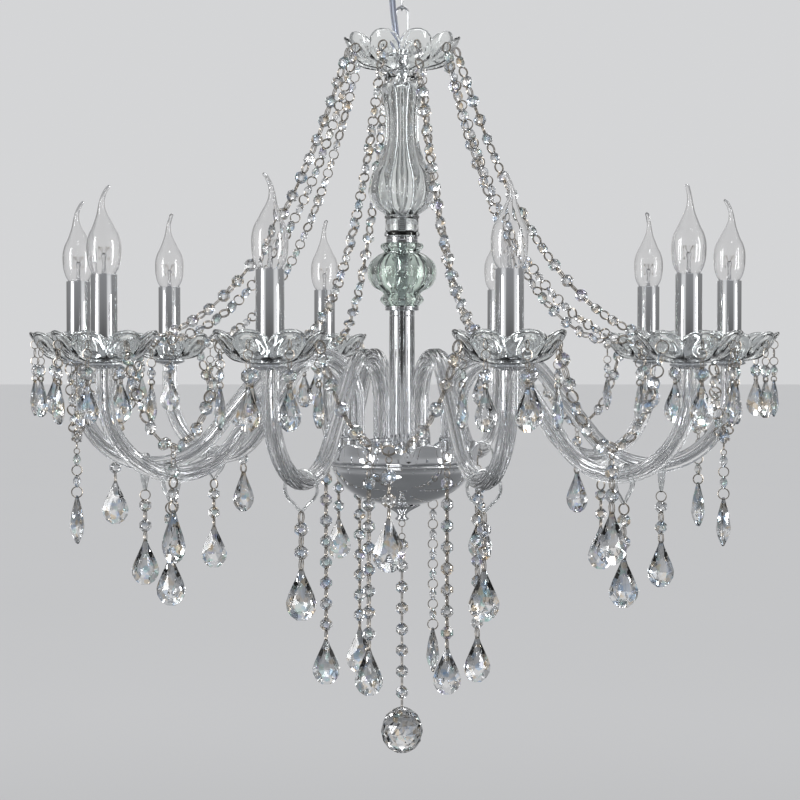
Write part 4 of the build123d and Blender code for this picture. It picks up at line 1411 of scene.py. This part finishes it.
# %% Drops on the pans
pan_drops = Strand()
pan_drop_first_link = 23 * mm
pan_drop_link = 2.4 * mm
drop_twists = {0: 0, 45: 7.313, -45: -7.313, 135: 0.76, -135: -0.76}
for pan in pan_places:
    for turn, twist in drop_twists.items():
        outwards = Matrix.Rotation(radians(turn), 4, "Z")
        place = pan @ outwards @ Matrix.Translation((pan_hole_radius, 0, 0))
        pan_drops.hang(place, pan_hook, 1, pan_drop_first_link, pan_drop_link, radians(twist),
                       small_pear)
pan_drops.pieces("pan_drop", ["pan_drops"])

# %% [markdown]
# ## Clips, strands and the ball
# A clear clip hangs over the low bend of each arm and carries two beads and a pear.  It is a band
# bent into a loop with a V at its foot, wide at the top and narrow at its tip.  Six strands hang on
# the plate's notches, and the longest one hangs from the finial and ends in a cut ball.

# %% Clips on the arms
clip_width = 35.5 * mm
clip_wall = 2.5 * mm
clip_place = reach - 71 * mm
clip_band = 7 * mm
clip_tail = 42 * mm
clip_edge = clip_place + clip_band / 2 - sweep_middle[0]
clip_ridge = sweep_middle[1] - sqrt((sweep_radius - arm_radius) ** 2 - clip_edge**2)
clip_top = clip_ridge + 0.3 * mm
clip_tip = clip_top + clip_wall - clip_tail
clip_radius = clip_width / 2 - clip_wall / 2
clip_bend = arc((0, clip_top + clip_wall / 2 - clip_radius), clip_radius, -60, 240, 34)
right_side = between((0, clip_tip + clip_wall / 2), clip_bend[0], (0.08, 0.3, 0.6, 0.85))
left_side = [(-x, z) for x, z in reversed(right_side)]
clip_line = [*right_side, *clip_bend, *left_side]
clip_rings = []
for number, (y, z) in enumerate(clip_line):
    before = clip_line[number - 1]
    after = clip_line[(number + 1) % len(clip_line)]
    tangent = Vector((0, after[0] - before[0], after[1] - before[1])).normalized()
    out = tangent.cross(Vector((1, 0, 0))) * clip_wall / 2
    wide = clip_band * (0.24 + 0.3 * min(1, (z - clip_tip) / (clip_tail - 4 * mm)))
    clip_rings.append([
        Vector((clip_place + wide * across, y, z)) + out * max(-1, min(1, along / 0.85))
        for across, along in circle(1, 10)])
clip_shape = skin(clip_rings, looped=True)
print(f"clip from {clip_top:.4f} to {clip_tip:.4f}")

# %% Drops under the clips
arm_drop_twists = [8, -6, -42, -73, 46, 5, -8, -42, -70, 46]
for number, place in enumerate(arm_places, start=1):
    name = f"arm_drop_{number}"
    clip = copied(clip_shape, [place])
    piece(f"{name}_clip", clip, clear_glass, [name], 40, name)
    here = place @ Matrix.Translation((clip_place, 0, 0))
    twist = radians(arm_drop_twists[number - 1])
    drop = Strand()
    drop.hang(here, clip_tip, 2, pendant_link, pendant_link, twist, large_pear)
    drop.pieces(name, [name], name)

# %% Strands under the hub
strand_radius = plate_radius * 0.94 + 2.3 * mm
strand_top = plate_high.z - ring_drop - plate_drop
strand_first_link = 32 * mm - plate_drop
strand_link = 8.2 * mm
strand_beads = 8
strand_twists = [15, -30, -80, -60, -30, 80]
for number in range(strand_count):
    turn = first_strand_turn + 2 * pi * number / strand_count
    place = Matrix.Rotation(turn, 4, "Z") @ Matrix.Translation((strand_radius, 0, 0))
    name = f"hub_strand_{number + 1}"
    twist = radians(strand_twists[number])
    strand = Strand()
    strand.hang(place, strand_top, strand_beads, strand_first_link, strand_link, twist,
                large_pear)
    strand.pieces(name, [name], name)


# %% Middle strand with the cut ball
def cut_ball(radius, top, height):
    """A ball of staggered triangle facets, a little drawn out at its top."""
    shares = [(0.12, 0), (0.42, 0.05), (0.74, 0.17), (0.94, 0.34), (1, 0.53), (0.92, 0.72),
              (0.68, 0.88), (0.34, 0.97), (0.05, 1)]
    points, faces = skin(staggered(scaled(shares, radius, top, -height), 12))
    return points, cut_in_two(faces)


middle_top = finial_low.z - 0.6 * mm
middle_first_link = 18.5 * mm
middle_link = 8.6 * mm
middle_strand = Strand()
ball_place = middle_strand.hang(Matrix.Identity(4), middle_top, strand_beads, middle_first_link,
                                middle_link, pi / 2, top_reach=1 * mm)
middle_strand.cut.append(cut_ball(22.5 * mm, ball_place, 50 * mm))
middle_strand.pieces("centre_strand", ["centre_strand"], "centre_strand")

# %% [markdown]
# ## Light and background
# Glass and chrome show little but their surroundings, so the studio matters more than the lamps.
# The background is pale for the eye.  Dark cards stand in it for metal and glass alone, as beside a
# photographed bottle.  What shines through the glass finds them at the diagonals, and they draw its
# edges.  What the chrome mirrors is dark towards the front and the sides, with a bright strip
# between them, as in the photograph.  Three large soft lamps do the rest, and a small one near the
# floor puts a bright patch into the bowl of the hub and a sparkle into the drops.

# %% Studio
pale_grey = (0.66, 0.665, 0.675)
world = bpy.data.worlds.new("studio")
world.use_nodes = True
bpy.context.scene.world = world
room = Finish(world.node_tree)
direction = {"Vector": room.coordinates("Generated")}
east, north, height = [room.node("ShaderNodeSeparateXYZ", {}, direction, axis) for axis in "XYZ"]
around = east.math("ARCTAN2", east, 0 - north)
turn_share = around.math("ABSOLUTE", around) * (1 / pi)
steep = height.math("ABSOLUTE", height)


def grey_cards(stops, upward):
    """Greys at shares of the half turn from front to back, and one colour above and below."""
    greys = [(place, (grey,) * 3) for place, grey in stops]
    cards = room.node("ShaderNodeValToRGB", {"stops": greys}, {"Fac": turn_share})
    return room.blend(steep, cards, upward)


upward = room.blend(steep, pale_grey, (0.30, 0.31, 0.33))
mirrored = grey_cards([(0.0, 0.03), (0.16, 0.06), (0.24, 1.0), (0.37, 1.0), (0.46, 0.10),
                       (0.80, 0.16), (0.93, 0.70)], upward)
shining = grey_cards([(0.0, 0.30), (0.28, 0.12), (0.42, 0.85), (0.56, 0.80), (0.66, 0.10),
                      (0.82, 0.22), (0.92, 0.68)], upward)
reflected = room.blend(room.is_ray("Glossy"), (0.62, 0.625, 0.635), mirrored)
bent = room.blend(room.is_ray("Transmission"), reflected, shining)
seen = room.blend(room.is_ray("Camera"), bent, pale_grey)
background = room.node("ShaderNodeBackground", {}, {"Color": seen, "Strength": 1.0})
room.node("ShaderNodeOutputWorld", {}, {"Surface": background})


# %% [markdown]
# Large lamps give glass long soft edges, and small ones give it sparks.  Two tall lamps stand at
# the sides, one wide lamp lights from behind and above, and the small one shines up from below.

# %% Lamps
def soft_lamp(name, place, target, width, height, power):
    """A large rectangular lamp that looks at a target."""
    data = bpy.data.lights.new(name, "AREA")
    data.shape = "RECTANGLE"
    data.size = width
    data.size_y = height
    data.energy = power
    lamp = bpy.data.objects.new(name, data)
    lamp.location = place
    lamp.rotation_euler = (Vector(target) - Vector(place)).to_track_quat("-Z", "Y").to_euler()
    lamp.visible_camera = False
    bpy.context.scene.collection.objects.link(lamp)


upper_stem = (0, 0, -0.1)
heart = (0, 0, -0.45)
soft_lamp("key_lamp", (-2.4, -1.5, -0.1), upper_stem, 0.5, 2.2, 34)
soft_lamp("fill_lamp", (2.5, -1.2, -0.2), upper_stem, 0.4, 2.0, 23)
soft_lamp("back_lamp", (0.6, 2.2, 2.0), heart, 1.8, 1.2, 26)
soft_lamp("low_lamp", (-0.22, -0.75, -1.6), heart, 0.36, 0.26, 2.2)


# %% [markdown]
# The lamp hangs from a ceiling, so its floor is far below.  The board is painted a pale grey, and a
# painted shadow darkens it under the lamp.  A part of what the camera sees of it is its own
# paleness, and the rest shows the light on it.

# %% Floor
def floor_surface(finish):
    """Pale painted board, with a painted shadow that makes it much darker under the lamp."""
    place = finish.coordinates()
    # Painted shadow: the board is dark grey near the lamp and fades to pale between 1.8 and 5.2
    # metres out, which also darkens what the chrome bowl mirrors.
    distance = finish.node("ShaderNodeVectorMath", {"operation": "LENGTH"}, {0: place}, "Value")
    span = {"Value": distance, "From Min": 1.8, "From Max": 5.2}
    out_of_painted_shadow = finish.node("ShaderNodeMapRange", {"interpolation_type": "SMOOTHSTEP"}, span)
    cloud = finish.noise(0.6, 3)
    fine = finish.noise(40, 3)
    pale = finish.blend(cloud, (0.60, 0.605, 0.615), (0.64, 0.64, 0.65))
    board = finish.node("ShaderNodeBsdfPrincipled", {}, {
        "Base Color": finish.blend(out_of_painted_shadow, (0.16, 0.165, 0.17), pale),
        "Roughness": 0.8 + 0.1 * cloud,
        "Normal": finish.bump(fine, 0.05, 0.001),
    })
    glow = finish.node("ShaderNodeEmission", {}, {"Color": (*pale_grey, 1), "Strength": 1.0})
    sockets = {0: 0.6 * finish.is_ray("Camera"), 1: board, 2: glow}
    return finish.node("ShaderNodeMixShader", {}, sockets)


floor_height = -1.75
floor_half = 60
floor_corners = [(x * floor_half, y * floor_half, floor_height)
                 for x, y in ((-1, -1), (1, -1), (1, 1), (-1, 1))]
floor_mesh = bpy.data.meshes.new("floor")
floor_mesh.from_pydata(floor_corners, [], [(0, 1, 2, 3)])
floor_mesh.materials.append(make_finish("floor_paint", floor_surface))
floor = bpy.data.objects.new("floor", floor_mesh)
bpy.context.scene.collection.objects.link(floor)
